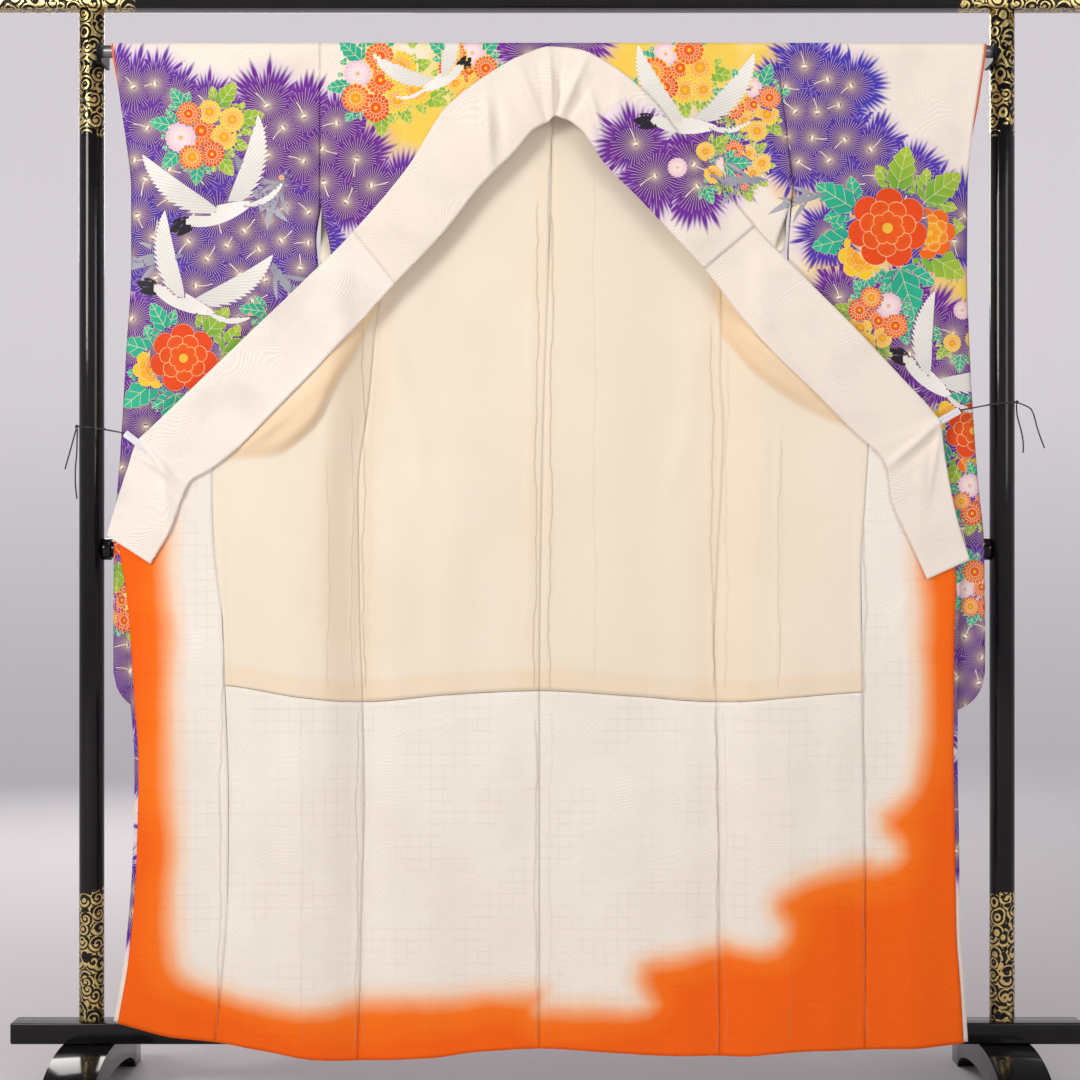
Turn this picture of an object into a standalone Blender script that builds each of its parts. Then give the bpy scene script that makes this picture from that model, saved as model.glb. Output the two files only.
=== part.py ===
# A long-sleeved kimono (furisode) hung open on a lacquered kimono stand.
#
# Metres, +Z up. The origin is on the floor under the middle of the stand. The stand runs along X and the
# opened garment faces -Y. Left is -X, as seen from the front. Every cloth surface below is the middle of
# its wall, and "depth" is how far forward of the posts' plane (towards -Y) it lies.

import math
from collections import namedtuple

import bmesh
import bpy
from mathutils import Matrix, Vector

# Stand
POST_X = 0.7125
POST_RADIUS = 0.0195
FOOT_RAIL_HALF = 0.835
FOOT_RAIL_DEPTH = 0.050
FOOT_RAIL_LOW = 0.077
FOOT_RAIL_HIGH = 0.110
TOP_RAIL_HALF = 0.890
TOP_RAIL_DEPTH = 0.042
TOP_RAIL_LOW = 1.690
TOP_RAIL_HIGH = 1.736
MID_RAIL_Z = 0.847
MID_RAIL_RADIUS = 0.013
FERRULE_RADIUS = 0.017
FERRULE_LENGTH = 0.012
FOOT_WIDTH = 0.080
FOOT_HALF_LENGTH = 0.210
FOOT_TOP_HALF = 0.040
FOOT_TIP_HEIGHT = 0.016
FOOT_PAD = 0.050
FOOT_ARCH_RISE = 0.036
ROD_RADIUS = 0.0098
ROD_DEPTH = 0.050
BRACKET_THICK = 0.006
BRACKET_BACK = 0.012
BRACKET_RIM = 0.006
GAP = 0.0003

# Cloth walls
SILK = 0.0015
LINING = 0.0012
COLLAR = 0.0020
SEAM_GAP = 0.0008
SHOULDER_TOP = 1.629
SHOULDER_RADIUS = 0.0135
SHOULDER_Z = SHOULDER_TOP - SHOULDER_RADIUS - SILK / 2
ROD_Z = SHOULDER_Z + 0.0005
LAY_GAP = 0.0005  # between a panel and what lies on it, where both are bent
LINING_LIFT = SILK / 2 + LAY_GAP + LINING / 2
BACK_DEPTH = ROD_DEPTH - SHOULDER_RADIUS
COLLAR_DEPTH = 0.0660
COLLAR_CLEAR = 0.0018
COLLAR_BLEND = 0.004
NAPE_BELLY = 0.006  # how far the stiff band bows forward at the nape
NAPE_REACH = 0.16
OVER_COLLAR = 0.0015
OVER_LIFT = COLLAR / 2 + GAP + OVER_COLLAR / 2
LINING_INSET = 0.045  # a share of the overlap panel: its outer silk shows this far beyond the lining

# How the opened fronts come forward of the sleeves, outwards from the side seams
RAMP_START = -0.012
RAMP_END = 0.062
TUCK_EDGE = 0.040
TUCK_PLATEAU = 0.035
TUCK_FADE = 0.080
CHEST_FADE = 0.10  # above the side seam the forward swing dies out over this height
BACK_SETTLES = 0.20  # and this far below the shoulder the back hangs straight
FACE_HIDE_NAPE = 0.020
FACE_HIDE_SIDE = 0.035

# Sleeves
SLEEVE_BOTTOM_HALF_DEPTH = 0.007
SLEEVE_CORNER = 0.060
SLEEVE_ROUNDING = 0.035
CUFF_DEPTH = 0.028
CUFF_SHOWS = 0.003
CUFF_START = 0.055

# Clips and their strings
CLIP_WIDTH = 0.011
CLIP_PLATE = 0.003
CLIP_JAW = 0.024
CLIP_BRIDGE = 0.009
STRING_RADIUS = 0.0011
KNOT_RADIUS = 0.0032
STRING_STEP = 0.0064

At = namedtuple("At", "z x")  # where a seam lies at a height
Height = namedtuple("Height", "x z")  # how high an edge lies at a width
Band = namedtuple("Band", "outer_x outer_z inner_x inner_z")  # both edges of the collar, at one section
Fold = namedtuple("Fold", "top_x top_z foot_x foot_z reach rise")  # one soft ridge of the hanging cloth
Amount = namedtuple("Amount", "at amount")
Clip = namedtuple("Clip", "outer_x outer_z inner_x inner_z")

SEAMS = {
    "left": {
        "front_edge": [
            At(0.120, -0.668), At(0.218, -0.651), At(0.368, -0.638), At(0.518, -0.634), At(0.615, -0.640),
            At(0.769, -0.651), At(0.854, -0.663), At(0.923, -0.640), At(1.000, -0.608),
        ],
        "okumi": [
            At(0.090, -0.511), At(0.185, -0.500), At(0.308, -0.491), At(0.462, -0.489), At(0.631, -0.494),
            At(0.738, -0.498), At(0.854, -0.511), At(0.954, -0.514), At(1.050, -0.512),
        ],
        "side": [
            At(0.058, -0.292), At(0.308, -0.286), At(0.462, -0.282), At(0.615, -0.285), At(0.738, -0.289),
            At(0.938, -0.292), At(1.083, -0.275), At(1.217, -0.263), At(1.255, -0.259), At(1.291, -0.3495),
            At(1.340, -0.3497), At(1.390, -0.3487), At(1.629, -0.3487),
        ],
        "face": [At(1.230, -0.326), At(1.306, -0.333), At(1.390, -0.3487), At(1.629, -0.3487)],
        "sleeve_inner": [At(0.597, -0.352), At(1.280, -0.354), At(1.325, -0.357), At(1.390, -0.3487),
                         At(1.629, -0.3487)],
        "sleeve_outer": [
            At(0.597, -0.668), At(0.692, -0.669), At(0.854, -0.668), At(1.000, -0.658), At(1.154, -0.649),
            At(1.285, -0.6415), At(1.400, -0.6415), At(1.491, -0.651), At(1.629, -0.668),
        ],
    },
    "right": {
        "front_edge": [
            At(0.088, 0.649), At(0.180, 0.643), At(0.255, 0.637), At(0.405, 0.634), At(0.554, 0.631),
            At(0.708, 0.632), At(0.800, 0.635), At(0.862, 0.620), At(1.000, 0.592),
        ],
        "okumi": [
            At(0.078, 0.491), At(0.308, 0.491), At(0.462, 0.488), At(0.628, 0.485), At(0.815, 0.482),
            At(0.923, 0.489), At(1.005, 0.494), At(1.080, 0.497),
        ],
        "side": [
            At(0.065, 0.268), At(0.262, 0.268), At(0.462, 0.266), At(0.615, 0.263), At(0.708, 0.260),
            At(0.831, 0.265), At(1.040, 0.274), At(1.122, 0.269), At(1.235, 0.271), At(1.275, 0.271),
            At(1.309, 0.366), At(1.350, 0.370), At(1.405, 0.3776), At(1.415, 0.3764), At(1.629, 0.351),
        ],
        "face": [At(1.230, 0.343), At(1.308, 0.351), At(1.405, 0.3776), At(1.415, 0.3764), At(1.629, 0.351)],
        "sleeve_inner": [At(0.597, 0.368), At(1.300, 0.372), At(1.405, 0.3776), At(1.415, 0.3764),
                         At(1.629, 0.351)],
        "sleeve_outer": [
            At(0.597, 0.675), At(0.708, 0.676), At(0.862, 0.674), At(0.923, 0.668), At(1.000, 0.661),
            At(1.154, 0.652), At(1.277, 0.648), At(1.415, 0.649), At(1.629, 0.674),
        ],
    },
}
CENTRE_SEAM = [At(0.077, -0.011), At(0.628, -0.011), At(1.000, -0.006), At(1.492, 0.008), At(1.629, 0.005)]
CUFF_END = {"left": 1.491, "right": 1.415}  # below this height the sleeve's outer edge is sewn shut
SIDE_TOP = {"left": 1.255, "right": 1.275}  # the opened front starts behind the collar at this height

HEM = [
    Height(-0.668, 0.120), Height(-0.580, 0.098), Height(-0.509, 0.089), Height(-0.428, 0.075),
    Height(-0.357, 0.062), Height(-0.294, 0.058), Height(-0.180, 0.062), Height(-0.097, 0.072),
    Height(-0.011, 0.076), Height(0.105, 0.070), Height(0.191, 0.065), Height(0.283, 0.065),
    Height(0.385, 0.075), Height(0.492, 0.078), Height(0.563, 0.080), Height(0.646, 0.088),
]
LINING_SEAM = [
    Height(-0.640, 0.645), Height(-0.494, 0.638), Height(-0.380, 0.620), Height(-0.285, 0.611),
    Height(-0.150, 0.622), Height(-0.011, 0.628), Height(0.130, 0.620), Height(0.263, 0.611),
    Height(0.380, 0.620), Height(0.485, 0.628), Height(0.632, 0.635),
]
FRONT_TOP = [  # the opened fronts end here, behind the collar
    Height(-0.620, 0.955), Height(-0.575, 0.975), Height(-0.535, 0.998), Height(-0.495, 1.024),
    Height(-0.420, 1.092), Height(-0.340, 1.168), Height(-0.300, 1.209), Height(-0.258, 1.255),
    Height(0.271, 1.275), Height(0.312, 1.225), Height(0.398, 1.136), Height(0.466, 1.068),
    Height(0.525, 1.008), Height(0.560, 0.982), Height(0.600, 0.965),
]
COLLAR_BANDS = [
    Band(-0.675, 0.868, -0.608, 0.825), Band(-0.660, 0.920, -0.576, 0.880),
    Band(-0.642, 0.975, -0.560, 0.925), Band(-0.630, 1.010, -0.545, 0.953),
    Band(-0.608, 1.033, -0.520, 0.967), Band(-0.560, 1.079, -0.480, 0.997),
    Band(-0.470, 1.166, -0.400, 1.078), Band(-0.377, 1.255, -0.320, 1.160),
    Band(-0.298, 1.335, -0.234, 1.255), Band(-0.215, 1.433, -0.165, 1.327),
    Band(-0.155, 1.526, -0.100, 1.408), Band(-0.095, 1.574, -0.050, 1.458),
    Band(-0.045, 1.603, -0.018, 1.494), Band(0.004, 1.619, 0.004, 1.503),
    Band(0.048, 1.615, 0.026, 1.508), Band(0.097, 1.592, 0.052, 1.492),
    Band(0.1585, 1.542, 0.092, 1.436), Band(0.205, 1.482, 0.143, 1.385),
    Band(0.262, 1.412, 0.193, 1.331), Band(0.3185, 1.343, 0.2415, 1.278),
    Band(0.400, 1.259, 0.330, 1.166), Band(0.4815, 1.177, 0.410, 1.087),
    Band(0.548, 1.106, 0.470, 1.028), Band(0.588, 1.063, 0.512, 0.990),
    Band(0.603, 1.040, 0.522, 0.970), Band(0.610, 0.990, 0.528, 0.925),
    Band(0.626, 0.905, 0.558, 0.856), Band(0.648, 0.831, 0.583, 0.8015),
]
COLLAR_MIDDLE = 13  # the section at the nape
OVER_COLLAR_ENDS = (8, 19)  # the sections where the over-collar is sewn down
TUCKS = {  # the lower edge of the loose lining that the opened collar drags up
    "left": [
        Height(-0.495, 0.9815), Height(-0.417, 0.989), Height(-0.383, 1.009), Height(-0.352, 1.0415),
        Height(-0.329, 1.091), Height(-0.297, 1.143), Height(-0.262, 1.217),
    ],
    "right": [
        Height(0.262, 1.217), Height(0.270, 1.176), Height(0.286, 1.155), Height(0.317, 1.117),
        Height(0.345, 1.094), Height(0.377, 1.072), Height(0.437, 1.040), Height(0.470, 1.030),
    ],
}
TUCK_RISE = {
    "left": [Amount(-0.510, 0.0), Amount(-0.440, 0.006), Amount(-0.370, 0.014), Amount(-0.310, 0.008),
             Amount(-0.262, 0.0)],
    "right": [Amount(0.262, 0.0), Amount(0.300, 0.008), Amount(0.350, 0.013), Amount(0.420, 0.007),
              Amount(0.480, 0.0)],
}
FRONT_FORWARD = [Amount(0.050, 0.016), Amount(0.400, 0.023), Amount(0.650, 0.029), Amount(1.300, 0.031)]
FOLDS = [
    Fold(-0.120, 1.420, -0.175, 0.300, 0.045, 0.0050),
    Fold(0.105, 1.400, 0.120, 0.250, 0.050, 0.0045),
    Fold(-0.225, 1.100, -0.245, 0.060, 0.030, 0.0040),
    Fold(0.215, 1.120, 0.215, 0.060, 0.030, 0.0040),
    Fold(-0.060, 0.900, -0.075, 0.050, 0.045, 0.0035),
    Fold(0.060, 0.800, 0.065, 0.050, 0.040, 0.0035),
    Fold(-0.375, 0.950, -0.385, 0.060, 0.035, 0.0060),
    Fold(-0.450, 0.860, -0.455, 0.080, 0.030, 0.0045),
    Fold(-0.575, 0.840, -0.580, 0.100, 0.035, 0.0050),
    Fold(0.385, 0.960, 0.370, 0.070, 0.040, 0.0055),
    Fold(0.445, 0.900, 0.440, 0.070, 0.030, 0.0040),
    Fold(0.560, 0.840, 0.565, 0.080, 0.035, 0.0050),
]
FOLD_FADE = 0.12  # the share of a fold's length over which it rises from nothing

CLIPS = {
    "left": Clip(-0.647, 1.025, -0.600, 0.990),
    "right": Clip(0.632, 1.060, 0.585, 1.034),
}
# The strings' own points, from the knot outwards. Each row is x, y, z.
STRINGS = {
    "string_left_front": [
        (-0.7345, -0.0048, 1.0390), (-0.7275, -0.0152, 1.0384), (-0.7160, -0.0213, 1.0372),
        (-0.7040, -0.0245, 1.0355), (-0.6880, -0.0380, 1.0330), (-0.6700, -0.0555, 1.0295),
        (-0.6560, -0.0690, 1.0270), (-0.6482, -0.0745, 1.0257),
    ],
    "string_left_back": [
        (-0.7345, 0.0028, 1.0392), (-0.7331, 0.0059, 1.0396), (-0.7276, 0.0151, 1.0394),
        (-0.7162, 0.0211, 1.0386), (-0.7035, 0.0194, 1.0376), (-0.6950, 0.0123, 1.0366),
        (-0.6913, 0.0025, 1.0354), (-0.6880, -0.0100, 1.0340), (-0.6780, -0.0270, 1.0318),
        (-0.6650, -0.0460, 1.0290), (-0.6540, -0.0620, 1.0268), (-0.6482, -0.0697, 1.0257),
    ],
    "string_left_tail": [
        (-0.7365, -0.0022, 1.0354), (-0.7388, -0.0060, 1.0240), (-0.7432, -0.0080, 1.0060),
        (-0.7482, -0.0085, 0.9880), (-0.7526, -0.0090, 0.9720),
    ],
    "string_left_tail_long": [
        (-0.7353, 0.0005, 1.0355), (-0.7362, 0.0030, 1.0200), (-0.7366, 0.0030, 0.9980),
        (-0.7384, 0.0020, 0.9740), (-0.7384, 0.0010, 0.9500), (-0.7358, 0.0000, 0.9260),
    ],
    "string_right_front": [
        (0.7345, -0.0048, 1.0770), (0.7275, -0.0152, 1.0764), (0.7160, -0.0213, 1.0752),
        (0.7040, -0.0245, 1.0738), (0.6860, -0.0370, 1.0710), (0.6660, -0.0540, 1.0670),
        (0.6450, -0.0690, 1.0625), (0.6333, -0.0746, 1.0607),
    ],
    "string_right_back": [
        (0.7345, 0.0028, 1.0772), (0.7331, 0.0059, 1.0776), (0.7276, 0.0151, 1.0774),
        (0.7162, 0.0211, 1.0766), (0.7035, 0.0194, 1.0756), (0.6950, 0.0123, 1.0746),
        (0.6913, 0.0025, 1.0734), (0.6880, -0.0100, 1.0720), (0.6780, -0.0280, 1.0700),
        (0.6620, -0.0480, 1.0664), (0.6440, -0.0640, 1.0628), (0.6333, -0.0698, 1.0607),
    ],
    "string_right_tail": [
        (0.7388, -0.0027, 1.0755), (0.7470, -0.0060, 1.0720), (0.7560, -0.0085, 1.0660),
        (0.7610, -0.0095, 1.0540), (0.7650, -0.0100, 1.0380), (0.7710, -0.0100, 1.0200),
        (0.7768, -0.0100, 1.0050),
    ],
    "string_right_tail_long": [
        (0.7353, 0.0005, 1.0735), (0.7364, 0.0030, 1.0600), (0.7400, 0.0030, 1.0440),
        (0.7440, 0.0020, 1.0280), (0.7460, 0.0010, 1.0120), (0.7456, 0.0000, 0.9980),
    ],
}
KNOTS = {"knot_left": (-0.7357, -0.0010, 1.0390), "knot_right": (0.7357, -0.0010, 1.0770)}

# Grids, in cells: the same rows on both sides of every seam
ROWS_LOWER = 9
ROWS_UPPER = 14
CHEST_ROWS = (2.0, 2.1, 2.3, 2.6, 3.0)  # close together where the side seam runs out to the sleeve
ROWS_SHOULDER = 6
ROWS_FACE = 6
LINING_END = 3.7  # the back's lining ends over the rod
COLUMNS_BACK = 7
COLUMNS_FRONT = 6
COLUMNS_OKUMI = (0.0, LINING_INSET, 0.28, 0.52, 0.76, 1.0)
SLEEVE_COLUMNS = (0.0, 0.03, 0.09, 0.19, 0.36, 0.57, 0.78, 1.0)
SLEEVE_ROWS_LOW = 9
SLEEVE_ROWS_HIGH = 5
COLLAR_ROWS = 4
COLLAR_STEPS = 2  # columns for each section of the collar

MATERIALS = {  # name: colour, roughness, metallic
    "dyed_silk": ((0.62, 0.45, 0.62), 0.55, 0.0),
    "white_silk": ((0.93, 0.86, 0.78), 0.55, 0.0),
    "cream_silk": ((0.90, 0.79, 0.62), 0.65, 0.0),
    "hem_silk": ((0.90, 0.80, 0.70), 0.60, 0.0),
    "orange_silk": ((0.95, 0.30, 0.04), 0.60, 0.0),
    "black_lacquer": ((0.012, 0.011, 0.012), 0.12, 0.0),
    "steel": ((0.35, 0.35, 0.36), 0.35, 1.0),
    "white_plastic": ((0.82, 0.85, 0.88), 0.40, 0.0),
    "black_string": ((0.02, 0.02, 0.02), 0.80, 0.0),
}


# Curves through the tables


class Smooth:
    """A curve through a table's rows that never swings past them."""

    def __init__(self, rows):
        rows = sorted(rows)
        self.keys = [row[0] for row in rows]
        self.values = [row[1] for row in rows]
        steps = [
            (self.values[i + 1] - self.values[i]) / (self.keys[i + 1] - self.keys[i])
            for i in range(len(rows) - 1)
        ]
        inner = [0.0 if a * b <= 0 else 2 * a * b / (a + b) for a, b in zip(steps, steps[1:])]
        self.slopes = [steps[0]] + inner + [steps[-1]]

    def __call__(self, at):
        keys = self.keys
        if at <= keys[0]:
            return self.values[0] + self.slopes[0] * (at - keys[0])
        if at >= keys[-1]:
            return self.values[-1] + self.slopes[-1] * (at - keys[-1])
        i = next(i for i in range(len(keys) - 1) if at <= keys[i + 1])
        span = keys[i + 1] - keys[i]
        t = (at - keys[i]) / span
        start, end = self.values[i], self.values[i + 1]
        leave, arrive = self.slopes[i] * span, self.slopes[i + 1] * span
        return (
            start * (1 + 2 * t) * (1 - t) ** 2
            + leave * t * (1 - t) ** 2
            + end * t * t * (3 - 2 * t)
            + arrive * t * t * (t - 1)
        )


def mix(a, b, t):
    return a + (b - a) * t


def ease(value, start, end):
    """0 before start, 1 after end, and a smooth rise between."""
    t = min(max((value - start) / (end - start), 0.0), 1.0)
    return t * t * (3 - 2 * t)


def larger(a, b, blend):
    """The larger of two depths, with a rounded change from one to the other."""
    return (a + b + math.sqrt((a - b) ** 2 + blend**2)) / 2


seam = {side: {name: Smooth(rows) for name, rows in table.items()} for side, table in SEAMS.items()}
for side in seam:
    seam[side]["centre"] = Smooth(CENTRE_SEAM)
hem = Smooth(HEM)
lining_seam = Smooth(LINING_SEAM)
front_top = Smooth(FRONT_TOP)
tuck_line = {side: Smooth(rows) for side, rows in TUCKS.items()}
tuck_rise = {side: Smooth(rows) for side, rows in TUCK_RISE.items()}
front_forward = Smooth(FRONT_FORWARD)
band = {name: Smooth(enumerate(getattr(row, name) for row in COLLAR_BANDS)) for name in Band._fields}
FACE_SECTIONS = COLLAR_BANDS[5:24]  # between the clips, where the collar's outer edge rises and falls
collar_outer = Smooth([(row.outer_x, row.outer_z) for row in FACE_SECTIONS])


# The hanging cloth


def side_of(x):
    return "left" if x < 0 else "right"


def fold_depth(x, z):
    """How far the soft vertical folds bring the cloth forward."""
    depth = 0.0
    for fold in FOLDS:
        down = (fold.top_z - z) / (fold.top_z - fold.foot_z)
        if down <= 0:
            continue
        off = (x - mix(fold.top_x, fold.foot_x, down)) / fold.reach
        depth += fold.rise * ease(down, 0.0, 4 * FOLD_FADE) * math.exp(-off * off)
    return depth


def tuck_depth(x, z):
    """The loose roll of lining under the opened collar."""
    side = side_of(x)
    rise = tuck_rise[side](x)
    if rise <= 0:
        return 0.0
    above = z - tuck_line[side](x)
    return rise * ease(above, 0.0, TUCK_EDGE) * (1 - ease(above, TUCK_PLATEAU, TUCK_PLATEAU + TUCK_FADE))


def silk_depth(x, z):
    """Depth of the outer silk from the hem up to the shoulder, back and opened fronts alike."""
    side = side_of(x)
    outward = abs(x) - abs(seam[side]["side"](min(z, SIDE_TOP[side])))
    below_chest = 1 - ease(z, SIDE_TOP[side], SIDE_TOP[side] + CHEST_FADE)
    forward = front_forward(z) * ease(outward, RAMP_START, RAMP_END) * below_chest
    return BACK_DEPTH + forward + fold_depth(x, z) + tuck_depth(x, z)


def back_face_end(x):
    """Where the shoulder cloth ends on the front, hidden behind the collar."""
    return collar_outer(x) - mix(FACE_HIDE_NAPE, FACE_HIDE_SIDE, ease(abs(x), 0.0, 0.15))


def across_seams(outer, inner, across, z):
    """x between two seams at a height, half a seam gap clear of each."""
    start, end = outer(z), inner(z)
    inset = math.copysign(SEAM_GAP / 2, end - start)
    return mix(start + inset, end - inset, across)


def settle(outer, inner, across, height_at):
    """The point that is a share of the way between two seams and at the height that its own x calls for."""
    z = 1.0
    for _ in range(12):
        x = across_seams(outer, inner, across, z)
        z = height_at(x)
    return x, z


def front_point(side, outer, inner, across, up):
    """The opened front. up runs 0 to 1 from hem to lining seam, then 1 to 2 up to the collar."""

    def height_at(x):
        if up <= 1:
            return mix(hem(x), lining_seam(x), up)
        return mix(lining_seam(x), front_top(x), up - 1)

    x, z = settle(seam[side][outer], seam[side][inner], across, height_at)
    return Vector((x, -silk_depth(x, z), z))


def back_point(side, across, up, radius=SHOULDER_RADIUS):
    """The back and shoulder. up: 0-1 hem to lining seam, 1-2 to the side seam's top, 2-3 to the shoulder,
    3-4 over the rod, 4-5 down the front to the end behind the collar."""
    outer = seam[side]["face"] if up > 3.5 else seam[side]["side"]
    inner = seam[side]["centre"]
    if up > 4:
        x, z = settle(outer, inner, across, lambda x: mix(SHOULDER_Z, back_face_end(x), up - 4))
        return Vector((x, -ROD_DEPTH - radius, z))
    if up >= 3:
        angle = (up - 3) * math.pi
        z = SHOULDER_Z + radius * math.sin(angle)
        x = across_seams(outer, inner, across, z)
        return Vector((x, -ROD_DEPTH + radius * math.cos(angle), z))

    def height_at(x):
        if up <= 1:
            return mix(hem(x), lining_seam(x), up)
        if up <= 2:
            return mix(lining_seam(x), SIDE_TOP[side], up - 1)
        return mix(SIDE_TOP[side], SHOULDER_Z, up - 2)

    x, z = settle(outer, inner, across, height_at)
    straight = ease(z, SHOULDER_Z - BACK_SETTLES, SHOULDER_Z)
    return Vector((x, -mix(silk_depth(x, z), BACK_DEPTH, straight), z))


def lifted(place, lift, step=0.05):
    """The same surface moved out towards the viewer, along its own normal."""

    def moved(across, up):
        along = place(across + step, up) - place(across - step, up)
        rising = place(across, up + step) - place(across, max(up - step, 0.0))
        normal = along.cross(rising).normalized()
        point = place(across, up)
        toward = Vector((0, -ROD_DEPTH, SHOULDER_Z)) - point if up > 3 else Vector((0, -1, 0))
        toward.x = 0
        return point + normal * math.copysign(lift, normal.dot(toward))

    return moved


# The sleeves


def sleeve_bottom(side, x):
    """The sleeve's lower edge, with its rounded outer corner."""
    base = seam[side]["sleeve_outer"].keys[0]
    inside = abs(seam[side]["sleeve_outer"](base)) - abs(x)
    off = max(SLEEVE_CORNER - inside, 0.0)
    return base + SLEEVE_CORNER - math.sqrt(max(SLEEVE_CORNER**2 - off**2, 0.0))


def sleeve_half_depth(side, x, z):
    """Half the thickness of the bag: it closes at the bottom and, under the wrist opening, at the outer edge."""
    base = seam[side]["sleeve_outer"].keys[0]
    height = min((z - base) / (SHOULDER_Z - base), 1.0)
    open_depth = mix(SLEEVE_BOTTOM_HALF_DEPTH, SHOULDER_RADIUS, height)
    from_edge = max(abs(seam[side]["sleeve_outer"](z)) - abs(x), 0.0) + max(z - CUFF_END[side], 0.0)
    from_bottom = max(z - sleeve_bottom(side, x), 0.0)
    closing = min(from_edge, from_bottom, SLEEVE_ROUNDING) / SLEEVE_ROUNDING
    return open_depth * math.sqrt(closing)


def sleeve_point(side, across, around, radius=SHOULDER_RADIUS):
    """The bag from its front bottom edge (0) up, over the rod (2 to 3) and down to its back bottom edge (5)."""
    outer, inner = seam[side]["sleeve_outer"], seam[side]["sleeve_inner"]

    def x_at(z):
        end = inner(z)
        return mix(outer(z), end - math.copysign(SEAM_GAP / 2, end), across) if across < 1 else (
            end + math.copysign(SEAM_GAP / 2, end))

    if 2 <= around <= 3:
        angle = (3 - around) * math.pi
        z = SHOULDER_Z + radius * math.sin(angle)
        return Vector((x_at(z), -ROD_DEPTH + radius * math.cos(angle), z))
    level = around if around < 2 else 5 - around
    z = 1.0
    for _ in range(12):
        x = x_at(z)
        if level <= 1:
            z = mix(sleeve_bottom(side, x), CUFF_END[side], level)
        else:
            z = mix(CUFF_END[side], SHOULDER_Z, level - 1)
    half = sleeve_half_depth(side, x, z) * radius / SHOULDER_RADIUS
    return Vector((x, -ROD_DEPTH - half if around < 2 else -ROD_DEPTH + half, z))


def cuff_point(side, across, around):
    """The facing inside the wrist opening, from the opening's front end over the rod to its back end."""
    lift = SILK / 2 + GAP + LINING / 2
    radius = SHOULDER_RADIUS - lift
    angle = min(max((2 - around), 0.0), 1.0) * math.pi
    if 1 <= around <= 2:
        z = SHOULDER_Z + radius * math.sin(angle)
    else:
        level = around if around < 1 else 3 - around
        z = mix(CUFF_END[side] + CUFF_START, SHOULDER_Z, level)
    edge = seam[side]["sleeve_outer"](z)
    x = edge + math.copysign(1.0, edge) * mix(CUFF_SHOWS, -CUFF_DEPTH, across)
    if 1 <= around <= 2:
        return Vector((x, -ROD_DEPTH + radius * math.cos(angle), z))
    half = sleeve_half_depth(side, edge, z) - lift
    return Vector((x, -ROD_DEPTH - half if around < 1 else -ROD_DEPTH + half, z))


# The collar


def collar_point(across, along):
    """The collar band: across from the sewn edge (0) to the free edge (1), along in sections."""
    x = mix(band["outer_x"](along), band["inner_x"](along), across)
    z = mix(band["outer_z"](along), band["inner_z"](along), across)
    lining_face = silk_depth(x, z) + LINING_LIFT + LINING / 2 + COLLAR_CLEAR + COLLAR / 2
    belly = NAPE_BELLY * math.sin(math.pi * across) * math.exp(-((x / NAPE_REACH) ** 2))
    return Vector((x, -larger(COLLAR_DEPTH, lining_face, COLLAR_BLEND) - belly, z))


# Making objects


def make_materials():
    made = {}
    for name, (colour, roughness, metallic) in MATERIALS.items():
        material = bpy.data.materials.new(name)
        material.use_nodes = True
        shader = material.node_tree.nodes["Principled BSDF"]
        shader.inputs["Base Color"].default_value = (*colour, 1.0)
        shader.inputs["Roughness"].default_value = roughness
        shader.inputs["Metallic"].default_value = metallic
        made[name] = material
    return made


def add_object(name, data, material):
    """Put a finished mesh or curve in the collection, with its material."""
    piece = bpy.data.objects.new(name, data)
    data.materials.append(materials[material])
    collection.objects.link(piece)
    return piece


def mesh_object(name, shape, material):
    mesh = bpy.data.meshes.new(name)
    shape.to_mesh(mesh)
    shape.free()
    return add_object(name, mesh, material)


def cloth(name, columns, rows, place, thickness, material):
    """A wall of cloth: a grid with a column for each value of columns and a row for each value of rows."""
    shape = bmesh.new()
    bmesh.ops.create_grid(shape, x_segments=len(columns) - 1, y_segments=len(rows) - 1, size=0.5)
    for vertex in shape.verts:
        column = round((vertex.co.x + 0.5) * (len(columns) - 1))
        row = round((vertex.co.y + 0.5) * (len(rows) - 1))
        vertex.co = place(columns[column], rows[row])
    bmesh.ops.remove_doubles(shape, verts=shape.verts, dist=0.00002)
    piece = mesh_object(name, shape, material)
    piece.data.shade_smooth()
    wall = piece.modifiers.new("wall", "SOLIDIFY")
    wall.thickness = thickness
    wall.offset = 0.0
    return piece


def even(count, start=0.0, end=1.0):
    """count cells between start and end."""
    return [mix(start, end, i / count) for i in range(count + 1)]


def turned(name, profile, steps, material):
    """A solid turned round its own Z axis, from rows of (height, radius) that run down its outer side."""
    shape = bmesh.new()
    rim = [shape.verts.new((radius, 0.0, height)) for height, radius in profile]
    for a, b in zip(rim, rim[1:]):
        shape.edges.new((a, b))
    piece = mesh_object(name, shape, material)
    screw = piece.modifiers.new("turn", "SCREW")
    screw.steps = screw.render_steps = steps
    screw.use_merge_vertices = True
    screw.merge_threshold = 0.00001
    return piece


def rounded_bar(name, size, centre, rounding, material):
    """A straight bar with softened edges."""
    shape = bmesh.new()
    bmesh.ops.create_cube(shape, size=1.0)
    bmesh.ops.scale(shape, vec=size, verts=shape.verts)
    piece = mesh_object(name, shape, material)
    piece.location = centre
    soften = piece.modifiers.new("soften", "BEVEL")
    soften.width = rounding
    soften.segments = 2
    return piece


def plate(name, outline, thickness, material):
    """A flat plate: the outline lies in its own XY plane and the thickness runs along its Z."""
    curve = bpy.data.curves.new(name, "CURVE")
    curve.dimensions = "2D"
    curve.fill_mode = "BOTH"
    curve.extrude = thickness / 2
    spline = curve.splines.new("POLY")
    spline.points.add(len(outline) - 1)
    for point, (x, y) in zip(spline.points, outline):
        point.co = (x, y, 0.0, 1.0)
    spline.use_cyclic_u = True
    return add_object(name, curve, material)


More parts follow.
